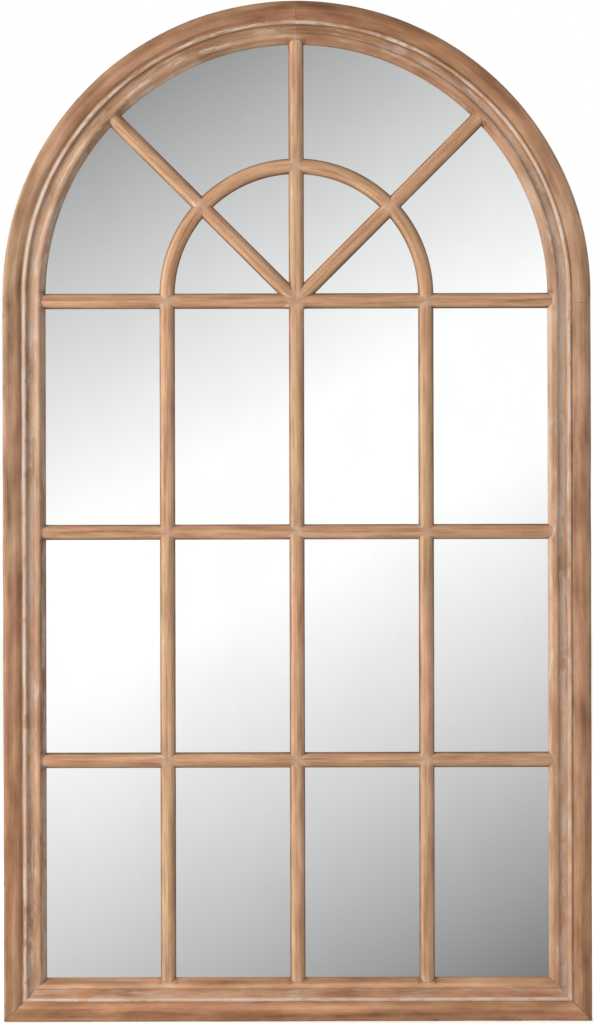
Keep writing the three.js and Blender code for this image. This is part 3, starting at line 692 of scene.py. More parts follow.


# How the lime leans on one length of moulding, with the marks about the bars' ends that meet it: among them
# painted shade in the corners beside each bar and a painted highlight on the nose at its tip. It also paints
# light on the roll: a painted highlight along its crown and painted light and shade across its flanks. meetings
# are the distances from its start, and shrink is the inner edge's length over the outer one's.
def leaning(member, meetings, mitres=0, shrink=1.0, paintedCrownHighlight=0.0, paintedFlankLight=(0.0, 0.0)):
    mitred = 0 if member.startswith("arch") else acrossFace
    random = np.random.default_rng(len(member) * 31)
    m, r = barMeetings, rollPaintedLight
    arris = rise(faceHeight - nicks["lowest"], nicks["fade"])
    inner = rise(acrossFace - m["innerFrom"], m["innerFade"]) * onFace
    tip = bell(acrossFace - m["limeAt"], m["highlightWidth"]) * onFace
    towardsLight = np.clip(1 - acrossFace / r["turnsAt"], -1, 1) * (acrossFace < moulding["rollWidth"])
    def touch(finish, tint, fromStart, toEnd, z):
        share = fromStart / (fromStart + toEnd)
        for stretch, (atStart, atEnd) in limeLeanings[member].items():
            centre, reach = faceStretches[stretch]
            near = bell(acrossFace - centre, reach) * onFace
            finish[..., 0] += (atStart + (atEnd - atStart) * share) * near
        # Painted shade in the corners beside each bar's end, and a painted highlight of lime on the nose at its
        # tip.
        for meeting in meetings:
            apart = (fromStart + mitred - meeting) * shrink
            for side in (-1, 1):
                beside = bell(side * apart - halfBar - m["beside"], m["cornerShadeReach"])
                finish[..., 1] += m["dirt"] * random.uniform(0.3, 1) * beside * inner
            limed = m["lime"] * random.uniform(0.4, 1) * bell(apart, m["highlightReach"]) * tip
            finish[..., 0] += limed
            finish[..., 2] += limed
        for _ in range(nicks["count"]):
            at, reach = random.uniform(0, 1), random.uniform(*nicks["reach"])
            nick = random.uniform(0.2, 1) * bell((share - at) * (fromStart + toEnd), reach) * arris
            outer = np.clip(1 - acrossFace / random.uniform(*nicks["width"]), 0, 1)
            finish[..., 1] += nicks["dirt"] * nick * outer
        for distance in [fromStart, toEnd][:mitres]:
            corner = bell(distance, mitreMarks["reach"]) * onFace
            banded = (acrossFace > mitreMarks["limeFrom"]) * (acrossFace < mitreMarks["limeTo"])
            rim = rise(mitreMarks["rim"] - acrossFace, mitreMarks["rimFade"])
            finish[..., 1] += mitreMarks["dirt"] * corner * rim
            finish[..., 0] += mitreMarks["lime"] * corner * banded
        # Painted light on the roll: a painted highlight along its crown and painted light and shade across its
        # flanks.
        paintedHighlight = paintedCrownHighlight * rise(z - r["level"], r["fade"]) * bell(acrossFace - r["crownAt"], r["crownReach"])
        tint *= (1 + paintedHighlight + (paintedFlankLight[0] + (paintedFlankLight[1] - paintedFlankLight[0]) * share) * towardsLight)[..., None]
    return touch


def paleRightSlope(finish, tint, fromStart, toEnd, z):
    slope = rise(acrossFace - rightSlope["start"], rightSlope["fade"]) * onFace
    finish[..., 0] += rightSlope["lime"] * slope
    finish[..., 1] *= 1 - rightSlope["clean"] * slope
    finish[..., 2] += rightSlope["pale"] * slope


def darkBeadFoot(finish, tint, fromStart, toEnd, z):
    nearFoot = bell(acrossFace - darkFoot["at"], darkFoot["reach"]) * onFace
    nearFoot = nearFoot * rise(z - darkFoot["level"], darkFoot["fade"])
    finish[..., 0] *= 1 - darkFoot["clean"] * nearFoot
    finish[..., 1] += darkFoot["dirt"] * nearFoot


def paleLeftSlope(finish, tint, fromStart, toEnd, z):
    angle = 180 - np.degrees(fromStart / outerRadius)
    first, last = leftSlope["cracks"]
    slope = rise(acrossFace - leftSlope["start"], leftSlope["fade"]) * onFace
    rubbed = (angle > first) & (angle < last)
    finish[..., 2] += leftSlope["pale"] * slope * rubbed
    finish[..., 1] *= 1 - leftSlope["clean"] * slope * rubbed
    fromCrack = np.radians(np.minimum(np.abs(angle - first), np.abs(angle - last))) * outerRadius
    inward = rise(acrossFace - leftSlope["crackStart"], leftSlope["fade"])
    finish[..., 1] += leftSlope["crackDirt"] * (fromCrack < leftSlope["crackReach"]) * inward


# Several touches made one after another.
def inTurn(*touches):
    def touch(*marks):
        for each in touches:
            each(*marks)
    return touch


# The places where bars meet each length, as distances from its start. A spoke meets the arch where its line
# from the hub crosses the opening's circle.
stileMeetings = [level - frameBottom for level in mirrorSize["rowLevels"]]
railMeetings = [outerRadius + x for x in (-columnPitch, 0, columnPitch)]
spokeTowards = hubLevel * diagonal
spokeLength = -spokeTowards + math.sqrt(spokeTowards ** 2 - hubLevel ** 2 + openingRadius ** 2)
spokeAngle = math.asin((hubLevel + spokeLength * diagonal) / openingRadius)
archMeetings = [hubLevel - springJoint,
                *(angle * outerRadius - springJoint for angle in (spokeAngle, math.pi / 2))]
archTouches = {side: leaning(f"arch_{side}", archMeetings, 0, openingRadius / outerRadius, 0.05)
               for side in ("left", "right")}
leftStileTouch = leaning("left_stile", stileMeetings, 1, 1.0, 0.06, (-0.07, 0.0))
rightStileTouch = leaning("right_stile", stileMeetings, 1, 1.0, 0.03, (0.05, 0.0))
railTouch = leaning("bottom_rail", railMeetings, 2)


# Both stiles and both halves of the arch were cut one after the other from board 1, and the rail from board 3.
def buildFrame():
    stileTop = springJoint - gap / 2 - frameBottom
    mitre = acrossFace + gap * diagonal
    crown = np.arccos(gap / 2 / (outerRadius - acrossFace)) * outerRadius - springJoint - gap / 2
    upTheArch = stileTop + gap
    wholeBoard = 2 * (upTheArch + float(np.mean(crown)))
    for name, node, path, starts, ends, seed, stain, touch, run in (
        ("leftStileMoulding", "left_stile", leftStilePath, mitre, stileTop, 1, "left", leftStileTouch, (1, 1, 0.0)),
        ("leftArchMoulding", "arch_left", archPath(-1), 0.0, crown, 4, "left",
         inTurn(archTouches["left"], darkBeadFoot, paleLeftSlope), (1, 1, upTheArch)),
        ("rightArchMoulding", "arch_right", archPath(1), 0.0, crown, 5, "right",
         inTurn(archTouches["right"], darkBeadFoot), (1, -1, wholeBoard - stileTop - gap)),
        ("rightStileMoulding", "right_stile", rightStilePath, mitre, stileTop, 2, "right",
         inTurn(rightStileTouch, paleRightSlope), (1, -1, wholeBoard)),
        ("bottomRailMoulding", "bottom_rail", railPath, mitre, 2 * outerRadius - mitre, 3, "rail", railTouch,
         (3, 1, 600.0)),
    ):
        carry(name, node, mouldingShape, path, starts, ends, moulding, seed, frameStains[stain], touch, run)
    print("frame moulding made")


buildFrame()


bars = {
    "chamferWidth": 5, "chamferHeight": 7.5, "crownRise": 1, "slant": 1.5,
    "points": 56, "soften": 0.35, "crowd": 3.0, "extraPlaces": (2, 3.5, 5, 6.5, 8, 9.5, 11, 13),
    "fillTop": 27.05, "fillFlat": 6.5, "hubFlat": 12.0, "fillFall": 0.16, "fillDepth": 0.4, "fillBlend": 0.25,
    "smear": 0.85, "smearShare": 0.7, "smearReach": 5.0, "firstBoard": -13640.0, "boardSpacing": 620.0,
    "spacing": 5.0, "ease": 0.5, "uneven": 0.14, "dents": 3, "dentDepth": 0.3, "dentBand": (0, 60),
    "stainWaver": 0.06, "endLime": 0.5, "endReach": 9.0, "cornerDirt": 0.9, "limedCorners": 0.45,
    "cornerReach": 4.5, "cornerTop": 5, "limeFrom": 21, "limeFade": 4,
    "slot": "bar_wood", "material": limedBarWood,
}
# Shares of lime, dirt and painted shade, and rubbed pale wood across a bar, by the distance from its centre line:
# the darkening at the bar's feet beside the glass is painted shade.
barFinish = {
    "at": [0, 3, 4.6, 5.6, 6.6, 8.2, 9.4, 10.5],
    "lime": [0.1, 0.12, 0.22, 0.3, 0.2, 0.15, 0.2, 0.2],
    "dirt": [0, 0, 0.12, 0.05, 0, 0.1, 0.7, 1.0],
    "pale": [0.1, 0.1, 0.2, 0.4, 0.4, 0.3, 0.2, 0.1],
}


# A bar's outline: x runs across it from its centre line, y is the height. It starts at the crown's centre,
# which is a flat quadratic curve between two chamfers.
def barSection():
    shoulder = halfBar - bars["chamferWidth"]
    top = lipFront + bars["chamferHeight"]
    crown = curvePoints((-shoulder, top), (0, top + 2 * bars["crownRise"]), (shoulder, top))
    half = len(crown) // 2
    outline = np.vstack([crown[half:], [(halfBar, lipFront), (halfBar, rabbetFloor), (0, rabbetFloor),
                                        (-halfBar, rabbetFloor), (-halfBar, lipFront)], crown[:half]])
    section = sectionOf(outline, bars["points"], bars["soften"], bars["crowd"])
    away, facing = np.abs(section["points"][:, 0]), section["normals"][:, 1]
    shares = [np.interp(away, barFinish["at"], barFinish[key]) for key in ("lime", "dirt", "pale")]
    section["finish"] = np.column_stack([*shares, facing < -0.5])
    section["tone"] = np.ones(len(away))
    section["easing"] = 1.0
    return section


barShape = barSection()
barAcross, barHeight = barShape["points"].T
# Half of a bar's width at each section point's height. Two bars that cross meet where these are equal.
halfWidthHere = np.where(barHeight < lipFront, halfBar, np.abs(barAcross))
# How far the frame's slope stands back from the opening's edge at each section point's height.
slopeReach = np.maximum(barHeight - lipFront, 0) / bars["slant"] - gap
crossGap = halfWidthHere + gap


# A straight bar: start + way * along + sideways * across.
def straightPath(startX, startZ, wayX, wayZ):
    def follow(along, across):
        return startX + wayX * along + wayZ * across, startZ + wayZ * along - wayX * across
    return follow


# How far along a line from the hub a circle about the arch's centre lies, for each section point:
# along^2 + 2 along (way . hub) + |hub + sideways * across|^2 = radius^2, solved for along.
def alongToCircle(wayX, wayZ, radius):
    sideX, sideZ = wayZ * barAcross, hubLevel - wayX * barAcross
    towards = wayX * sideX + wayZ * sideZ
    return -towards + np.sqrt(towards ** 2 - (sideX ** 2 + sideZ ** 2) + radius ** 2)


# Lime gathers on a bar's face near its two ends, and dirt or lime in the corners beside them.
def gatheredAtEnds(seed):
    random = np.random.default_rng(seed + 900)
    low = rise(lipFront + bars["cornerTop"] - barHeight, bars["cornerTop"]) * (barHeight > rabbetFloor + 0.3)
    high = rise(barHeight - bars["limeFrom"], bars["limeFade"])
    def touch(finish, tint, fromStart, toEnd, z):
        for distance in (fromStart, toEnd):
            lime = bars["endLime"] * random.uniform(0.3, 1) * high * bell(distance, bars["endReach"])
            finish[..., 0] += lime
            finish[..., 2] += 0.5 * lime
            for side in (-1, 1):
                near = bell(distance, bars["cornerReach"]) * low * (side * barAcross > 0)
                limed = random.uniform() < bars["limedCorners"]
                column, amount = (0, 1.0) if limed else (1, bars["cornerDirt"])
                finish[..., column] += amount * random.uniform(0.5, 1) * near
    return touch


# The crossings, each with the radius over which its filling is flat. A spoke crosses the small arch where
# its distance from the arch's centre is the columns' pitch.
def crossingPlaces():
    flat = bars["fillFlat"]
    places = [(x, level, flat) for level in mirrorSize["rowLevels"] for x in (-columnPitch, 0, columnPitch)]
    towards = hubLevel * diagonal
    slanting = (math.sqrt(towards ** 2 - hubLevel ** 2 + columnPitch ** 2) - towards) * diagonal
    return [*places, (0, hubLevel, bars["hubFlat"]), (0, columnPitch, flat),
            *((side * slanting, hubLevel + slanting, flat) for side in (-1, 1))]


crossings = crossingPlaces()
# Uprights dried rosier than the bars between them.
barStains = {
    "upright": {"at": [0], "depth": [1.0], "warmth": [-0.02]},
    "level": {"at": [0], "depth": [0.95], "warmth": [0.025]},
    "curved": {"at": [0], "depth": [0.98], "warmth": [0.02]},
}


def addBar(node, path, starts, ends, seed, stain):
    carry(pieceName(node, "Bar"), node, barShape, path, starts, ends, bars, seed, stain, gatheredAtEnds(seed),
          pairedCaps=True)


def buildUprights():
    atRail = railTop - slopeReach
    crown = np.sqrt((openingRadius + slopeReach) ** 2 - barAcross ** 2)
    stain = barStains["upright"]
    addBar("centre_mullion", straightPath(0, 0, 0, 1), atRail, crown, 10, stain)
    for side, label, seed in ((-1, "left", 11), (1, "right", 12)):
        path = straightPath(side * columnPitch, 0, 0, 1)
        addBar(f"{label}_mullion", path, atRail, hubLevel - gap / 2, seed, stain)


def buildCrossBars():
    atFrame = openingRadius + slopeReach
    spans = {
        "far_left": (-atFrame, -columnPitch - crossGap), "mid_left": (-columnPitch + crossGap, -crossGap),
        "mid_right": (crossGap, columnPitch - crossGap), "far_right": (columnPitch + crossGap, atFrame),
    }
    seed = 13
    for row, level in zip(("spring_bar", "upper_bar", "lower_bar"), mirrorSize["rowLevels"]):
        for column, (starts, ends) in spans.items():
            addBar(f"{row}_{column}", straightPath(0, level, 1, 0), starts, ends, seed, barStains["level"])
            seed += 1


# The small arch's half: up from the hub's level, then round the arch's centre at the columns' pitch.
def smallArchPath(side):
    footLength = -hubLevel - gap / 2
    def follow(along, across):
        angle = np.maximum(along - footLength, 0) / columnPitch
        reach = columnPitch + across
        return side * reach * np.cos(angle), np.minimum(along - footLength, 0) + reach * np.sin(angle)
    return follow


def buildFan():
    stain = barStains["curved"]
    for side, label, seed in ((-1, "left", 30), (1, "right", 33)):
        crown = np.arccos(crossGap / (columnPitch + barAcross)) * columnPitch - hubLevel - gap / 2
        addBar(f"inner_arch_{label}", smallArchPath(side), 0.0, crown, seed, stain)
        path = straightPath(0, hubLevel, side * diagonal, diagonal)
        fromHub = halfWidthHere + crossGap / diagonal
        toArch, pastArch, toFrame = (
            alongToCircle(side * diagonal, diagonal, radius)
            for radius in (columnPitch - crossGap, columnPitch + crossGap, openingRadius + slopeReach))
        addBar(f"spoke_{label}_inner", path, fromHub, toArch, seed + 1, stain)
        addBar(f"spoke_{label}_outer", path, pastArch, toFrame, seed + 2, stain)


buildUprights()
buildCrossBars()
buildFan()
print("glazing bars made")


sheets = {
    "glass": {"node": "mirror_glass", "clearance": 1.0, "heights": (15.0, 11.0), "ease": 0.5,
              "slot": "silvered_glass", "material": mirrorSilver},
    "board": {"node": "backing_board", "clearance": 0.5, "heights": (11.0, 6.0), "ease": 0.35,
              "slot": "fibre_board", "material": hardboard},
    "archPoints": 181, "sidePoints": 40, "footGap": 0.3, "rimShare": 0.3,
}


# A closed arched sheet: its outline goes up one side, round a half circle and down the other, and a rounded
# rim is the outline drawn in by a little at each height.
def archedSheet(name, sheet):
    radius = openingRadius + mirrorSize["rabbetWidth"] - sheet["clearance"]
    foot = railTop - mirrorSize["rabbetWidth"] + sheets["footGap"]
    side = np.linspace(foot, 0, sheets["sidePoints"])
    turn = np.linspace(0, np.pi, sheets["archPoints"])[1:-1]
    floor = np.linspace(-radius, radius, sheets["sidePoints"])[1:-1]
    edge = np.full(side.shape, radius)
    x = np.concatenate([edge, radius * np.cos(turn), -edge, floor])
    z = np.concatenate([side, radius * np.sin(turn), side[::-1], np.full(floor.shape, foot)])
    ease, part = sheet["ease"], sheets["rimShare"]
    front, back = sheet["heights"]
    rim = [(1.0, front), (part, front - part * ease), (0.0, front - ease),
           (0.0, back + ease), (part, back + part * ease), (1.0, back)]
    middle = (foot + radius) / 2
    rings = [np.column_stack([x * (1 - inset * ease / radius), np.full(x.shape, -height),
                              middle + (z - middle) * (1 - inset * ease / (radius - middle))])
             for inset, height in rim]
    count = len(x)
    last = (len(rings) - 1) * count
    piece = makePiece(name, np.vstack(rings), gridQuads(len(rings), count),
                      [range(count), range(last, last + count)], sharpAngle=15)
    return settle(piece, sheet["node"], sheet["material"])


archedSheet("mirrorGlassSheet", sheets["glass"])
archedSheet("backingBoardSheet", sheets["board"])
print("glass and board made")


# Turns a profile of (radius, height) pairs about the height's axis. lift may raise or sink each point.
def turned(profile, sides, lift=None):
    angle = np.linspace(0, 2 * np.pi, sides, endpoint=False)
    radius, height = np.array(profile, dtype=float).T[:, :, None]
    height = height + np.zeros(sides)
    across, deep = radius * np.cos(angle), radius * np.sin(angle)
    if lift is not None:
        height = height + lift(across, deep, height)
    rows = len(profile)
    caps = [range(sides), range((rows - 1) * sides, rows * sides)]
    return np.stack([across, height, deep], axis=-1).reshape(-1, 3), gridQuads(rows, sides), caps


screws = {
    "button": {"headRadius": 4.0, "headHeight": 2.0, "shankRadius": 1.7, "length": 14.0},
    "strap": {"headRadius": 3.5, "headHeight": 1.8, "shankRadius": 1.7, "length": 12.0},
    "recessReach": 2.1, "recessWidth": 0.62, "recessDepth": 1.3, "recessEase": (0.35, 0.16), "recessFrom": 0.6,
    "threadPitch": 1.3, "threadDepth": 0.35, "threadFrom": 3, "threadTo": 2.2, "threadRows": 34,
    "point": 1.6, "pointShare": 0.55, "neck": ((0, -0.6), (0.25, -0.1)),
    "seat": ((-0.3, 0), (-0.08, 0.1), (0, 0.35)), "domeFlatness": 0.6, "domeEnd": 0.62, "crossRows": 26,
    "sides": 48, "slot": "screw_steel", "material": zincScrew,
}


# A pan-head screw: a turned profile with a cross sunk into its head, and a thread that is a sawtooth of the
# height and the angle together. It points away from the wall.
def addScrew(node, size, x, seat, z, turn):
    head, tall = size["headRadius"], size["headHeight"]
    shank, length = size["shankRadius"], size["length"]
    threaded = np.linspace(-length + screws["threadFrom"], -screws["threadTo"], screws["threadRows"])
    profile = [(0.02, -length), (shank * screws["pointShare"], -length + screws["point"])]
    profile += [(shank, float(level)) for level in threaded]
    profile += [(shank + out, level) for out, level in screws["neck"]]
    profile += [(head + out, level) for out, level in screws["seat"]]
    edge = screws["seat"][-1][1]
    for share in np.linspace(0.1, 1, 10):
        bulge = math.pi / 2 * share
        if share < screws["domeEnd"]:
            out = head * math.cos(bulge) ** screws["domeFlatness"]
            profile.append((out, edge + (tall - edge) * math.sin(bulge)))
    rim = profile[-1][0]
    profile += [(rim * float(share), tall) for share in np.linspace(0.95, 0.02, screws["crossRows"])]

    def shape(across, deep, height):
        c, s = math.cos(turn), math.sin(turn)
        armOne, armTwo = np.abs(c * across + s * deep), np.abs(c * deep - s * across)
        endEase, sideEase = screws["recessEase"]
        def arm(run, side):
            return rise(screws["recessReach"] - run, endEase) * rise(screws["recessWidth"] - side, sideEase)
        cross = np.maximum(arm(armOne, armTwo), arm(armTwo, armOne))
        return -screws["recessDepth"] * cross * (height > tall * screws["recessFrom"])

    points, quads, caps = turned(profile, screws["sides"], shape)
    angle = np.arctan2(points[:, 2], points[:, 0])
    phase = (points[:, 1] / screws["threadPitch"] + angle / (2 * np.pi)) % 1
    onThread = (points[:, 1] < -2) & (points[:, 1] > -length + 1.5)
    radius = 1 + onThread * screws["threadDepth"] / shank * (np.abs(phase - 0.5) * 2 - 1)
    points[:, [0, 2]] *= radius[:, None]
    piece = makePiece(pieceName(node, "Fixing"), points + np.array([x, -seat, z]), quads, caps, sharpAngle=42)
    settle(piece, node, screws["material"])


turnButtons = {
    "length": 32.0, "width": 11.0, "tail": 6.5, "top": 4.3, "bottom": 5.8, "hole": 2.0, "ease": 0.35,
    "pivotInset": 41.0, "levels": {"upper": -230.0, "lower": -720.0}, "railOffset": 175.0, "screwSeat": 4.1,
    "swell": 1.6, "sides": 96, "slot": "zinc_plate", "material": zincSheet,
}


# A flat plate with round ends and eased edges about a hole: rings between the hole's circle and the outline,
# which is a circle pulled apart along x.
def addTurnButton(node, x, z, wayX, wayZ, turn):
    b = turnButtons
    angle = np.linspace(0, 2 * np.pi, b["sides"], endpoint=False)
    end = b["width"] / 2
    tip, tail = b["length"] - b["tail"] - end, end - b["tail"]
    share = np.clip(np.cos(angle) * b["swell"], -1, 1) * 0.5 + 0.5
    outlineX = tail + (tip - tail) * share + end * np.cos(angle)
    outlineZ = end * np.sin(angle)
    holeX, holeZ = b["hole"] * np.cos(angle), b["hole"] * np.sin(angle)
    # The plate's rings: a share of the way from the hole to the outline, and a height off the wall.
    top, bottom, ease = b["top"], b["bottom"], b["ease"]
    loop = [(0.0, top + ease), (0.04, top + 0.08), (0.1, top), (0.5, top), (0.93, top), (0.98, top + 0.1),
            (1.0, top + ease), (1.0, bottom - 0.15), (0.985, bottom), (0.5, bottom), (0.0, bottom)]
    rings = []
    for reach, height in loop:
        localX = holeX + (outlineX - holeX) * reach
        localZ = holeZ + (outlineZ - holeZ) * reach
        rings.append(np.column_stack([x + wayX * localX - wayZ * localZ, np.full(angle.shape, -height),
                                      z + wayZ * localX + wayX * localZ]))
    rings.append(rings[0])
    count, rows = b["sides"], len(loop)
    quads = gridQuads(rows + 1, count) % (rows * count)
    piece = makePiece(pieceName(node, "Plate"), np.vstack(rings[:-1]), quads, sharpAngle=35)
    settle(piece, node, b["material"])
    addScrew(f"{node}_screw", screws["button"], x, b["screwSeat"], z, turn)


def buildTurnButtons():
    b = turnButtons
    away = outerRadius - b["pivotInset"]
    random = np.random.default_rng(71)
    for side, label in ((-1, "left"), (1, "right")):
        turns = random.uniform(0, math.pi / 2, 4)
        addTurnButton(f"turn_button_{label}_arch", side * away * diagonal, away * diagonal,
                      -side * diagonal, -diagonal, turns[0])
        for (level, z), turn in zip(b["levels"].items(), turns[1:]):
            addTurnButton(f"turn_button_{label}_{level}", side * away, z, -side, 0.0, turn)
        addTurnButton(f"turn_button_{label}_bottom", side * b["railOffset"], frameBottom + b["pivotInset"],
                      0.0, 1.0, turns[3])
    print("turn buttons made")


buildTurnButtons()


# The way along a path of points and its left-hand side, for each point.
def waysOf(path):
    ahead = np.gradient(path, axis=0)
    ahead = ahead / np.hypot(*ahead.T)[:, None]
    return ahead, np.column_stack([-ahead[:, 1], ahead[:, 0]])


# The same path through a number of evenly spaced points.
def evenly(path, count):
    reach = np.concatenate([[0], np.cumsum(np.hypot(*np.diff(path, axis=0).T))])
    wanted = np.linspace(0, reach[-1], count)
    return np.column_stack([np.interp(wanted, reach, path[:, axis]) for axis in (0, 1)])


def arc(centre, radius, fromAngle, toAngle, steps=40):
    angle = np.linspace(fromAngle, toAngle, steps)
    return np.column_stack([centre[0] + radius * np.cos(angle), centre[1] + radius * np.sin(angle)])


hangers = {
    "inset": 24.0, "axisHeight": 3.25, "axisZ": -17.5, "lean": math.asin((6.0 - 3.25 - 1.5 - 0.3) / 19.0),
    "wire": 1.5, "halfWidth": 9.0, "corner": 2.5, "sideEnd": 10.0, "split": 0.3, "wireEnd": 0.86,
    "wireSides": 16, "wirePoints": 190,
    "strapWidth": 12.0, "strapLength": 34.0, "sheet": 0.96, "loopMean": 2.25, "screwDrops": (9.0, 28.0),
    "backHeight": 5.5, "frontHeight": 4.5, "neckDrop": 5.6, "bendOut": 0.35, "bendDrop": 3.6, "wrap": -55.8,
    "strapPoints": 150, "strapSides": 24, "flatness": (0.35, 0.5),
    "screwSeat": 4.0, "slot": "zinc_plate", "material": zincSheet,
}


# A ring of round wire: a circle carried along a D-shaped line whose ends meet in its straight side.
def addRing(node, x):
    h = hangers
    half, corner, side = h["halfWidth"], h["corner"], h["sideEnd"]
    path = np.vstack([
        [(h["split"], 0)],
        arc((half - corner, corner), corner, -np.pi / 2, 0, 14),
        arc((0, side), half, 0, np.pi, 60),
        arc((corner - half, corner), corner, np.pi, 1.5 * np.pi, 14),
        [(-h["split"], 0)],
    ])
    path = evenly(path, h["wirePoints"])
    ahead, aside = waysOf(path)
    angle = np.linspace(0, 2 * np.pi, h["wireSides"], endpoint=False)
    size = np.full(len(path), h["wire"])
    size[[0, -1]] *= h["wireEnd"]
    out, lift = size[:, None] * np.cos(angle), size[:, None] * np.sin(angle)
    localX = path[:, :1] + aside[:, :1] * out
    localZ = path[:, 1:] + aside[:, 1:] * out
    lean = h["lean"]
    points = np.stack([x + localX, -h["axisHeight"] + lift * math.cos(lean) - localZ * math.sin(lean),
                       h["axisZ"] + lift * math.sin(lean) + localZ * math.cos(lean)], axis=-1).reshape(-1, 3)
    count, rows = h["wireSides"], len(path)
    caps = [range(count), range((rows - 1) * count, rows * count)]
    piece = makePiece(pieceName(node, "Wire"), points, gridQuads(rows, count), caps)
    settle(piece, node, h["material"])


# A strip of sheet folded round the ring's wire: its line in the y-z plane goes up the back, round the loop
# and down the front, and a rounded rectangle is carried along it, drawn in towards the round foot.
def addStrap(node, x):
    h = hangers
    foot, loop = -h["strapLength"], h["loopMean"]
    backLine, frontLine = (h["axisHeight"] - h[side] for side in ("backHeight", "frontHeight"))
    touch = arc((0, 0), loop, np.pi, math.radians(h["wrap"]), 70)
    bend = curvePoints(touch[-1], (frontLine + h["bendOut"], -h["bendDrop"]), (frontLine, -h["neckDrop"]), 14)
    line = np.vstack([[(backLine, foot + 0.3)], touch, bend[1:], [(frontLine, foot + 0.3)]])
    line = evenly(line, h["strapPoints"])
    ahead, aside = waysOf(line)
    end = h["strapWidth"] / 2
    fromFoot = np.clip(line[:, 1] - foot, 0.25, end)
    width = np.sqrt(end ** 2 - (end - fromFoot) ** 2)
    thick = h["sheet"] / 2
    sides = h["strapSides"]
    corner = np.linspace(0, 2 * np.pi, sides, endpoint=False)
    boxX, boxY = (np.sign(way) * np.abs(way) ** power
                  for way, power in zip((np.cos(corner), np.sin(corner)), h["flatness"]))
    spread = (width[:, None] - thick) * np.sign(np.round(boxX, 6)) + thick * boxX
    off = thick * boxY * np.ones((len(line), 1))
    localY = line[:, :1] + aside[:, :1] * off
    localZ = line[:, 1:] + aside[:, 1:] * off
    points = np.stack([x + spread, -h["axisHeight"] + localY, h["axisZ"] + localZ], axis=-1).reshape(-1, 3)
    rows = len(line)
    caps = [range(sides), range((rows - 1) * sides, rows * sides)]
    piece = makePiece(pieceName(node, "Plate"), points, gridQuads(rows, sides), caps, sharpAngle=50)
    settle(piece, node, h["material"])


pads = {
    "inset": 24.0, "rise": 90.0, "radius": 9.0, "thickness": 6.0, "rim": 0.8,
    "waist": ((-0.5, 0), (-0.1, 0.15), (-0.1, 0.7), (-0.35, 0.9), (-0.3, 1.2)),
    "ring": ((-2.0, 0.0), (-2.3, -0.22), (-2.8, -0.22), (-3.1, 0.0)),
    "slot": "bumper_rubber", "material": padRubber,
}


# A moulded pad: a turned profile with a rounded rim, a shallow ring round its face and a waist at its foot.
def addBumper(node, x):
    radius, thick, rim = pads["radius"], pads["thickness"], pads["rim"]
    profile = [(0.05, -thick), *((radius + out, up - thick) for out, up in pads["waist"])]
    profile += [(radius - rim * (1 - math.cos(turn)), -rim + rim * math.sin(turn))
                for turn in np.linspace(0, math.pi / 2, 8)]
    profile += [*((radius + out, up) for out, up in pads["ring"]), (0.05, 0.0)]
    points, quads, caps = turned(profile, 72)
    points += np.array([x, 0, frameBottom + pads["rise"]])
    piece = makePiece(pieceName(node, "Pad"), points, quads, caps)
    settle(piece, node, pads["material"])


def buildHangersAndPads():
    random = np.random.default_rng(72)
    for side, label in ((-1, "left"), (1, "right")):
        x = side * (outerRadius - hangers["inset"])
        addRing(f"{label}_hanger_ring", x)
        addStrap(f"{label}_hanger_strap", x)
        for place, drop in zip(("upper", "lower"), hangers["screwDrops"]):
            addScrew(f"{label}_hanger_screw_{place}", screws["strap"], x, hangers["screwSeat"],
                     hangers["axisZ"] - drop, random.uniform(0, math.pi / 2))
        addBumper(f"{label}_bumper", side * (outerRadius - pads["inset"]))
    print("hangers and pads made")


buildHangersAndPads()

for node in ("left_corner_spline", "right_corner_spline",
             "left_spring_tenon", "right_spring_tenon", "crown_tenon"):
    frame["nodes"][node].data.materials.clear()
    frame["nodes"][node].data.materials.append(planedJoiners)


studio = {
    "floorHalf": 14.0, "floorColour": paint(246, 245, 243), "floorGlow": 0.42, "worldLight": 0.57,
    "keyPlace": (-2.95, -2.05, 0.3), "keyAim": (0, 0, -0.3), "keySize": (1.5, 1.0), "keyWatts": 98,
    "backPlace": (-2.4, 2.8, 0.9), "backAim": (0, 0, -0.3), "backSize": (1.6, 1.6), "backWatts": 60,
    "cardDistance": 4.5, "cardRadius": 5.2, "cardHalfTurn": 80, "cardLow": -6.0, "cardHigh": 6.0,
    "cameraDistance": 4.5, "cameraRoll": 0.13, "lens": 113.74,
    "aimX": 0.0001, "aimZ": -0.29995,
}
# The reflected studio wall: light over the slanting distance s in metres, seen in the glass. It is white
# along a ridge and falls off evenly on both sides.
wallGradient = {"wayX": 0.459, "wayZ": -0.888, "low": -0.44, "white": 0.148, "whiteEnd": 0.346, "high": 1.0,
                "dark": 0.198, "glassShare": 0.94}


def aimed(thing, target):
    away = np.array(target) - np.array(thing.location)
    thing.rotation_euler = (math.pi / 2 + math.atan2(away[2], math.hypot(away[0], away[1])), 0,
                            math.atan2(-away[0], away[1]))


def addLamp(name, place, aim, size, watts, seenInGlass):
    light = bpy.data.lights.new(name, "AREA")
    light.shape = "RECTANGLE"
    light.size, light.size_y = size
    light.energy = watts
    lamp = bpy.data.objects.new(name, light)
    lamp.location = place
    aimed(lamp, aim)
    lamp.visible_glossy = seenInGlass
    bpy.context.scene.collection.objects.link(lamp)


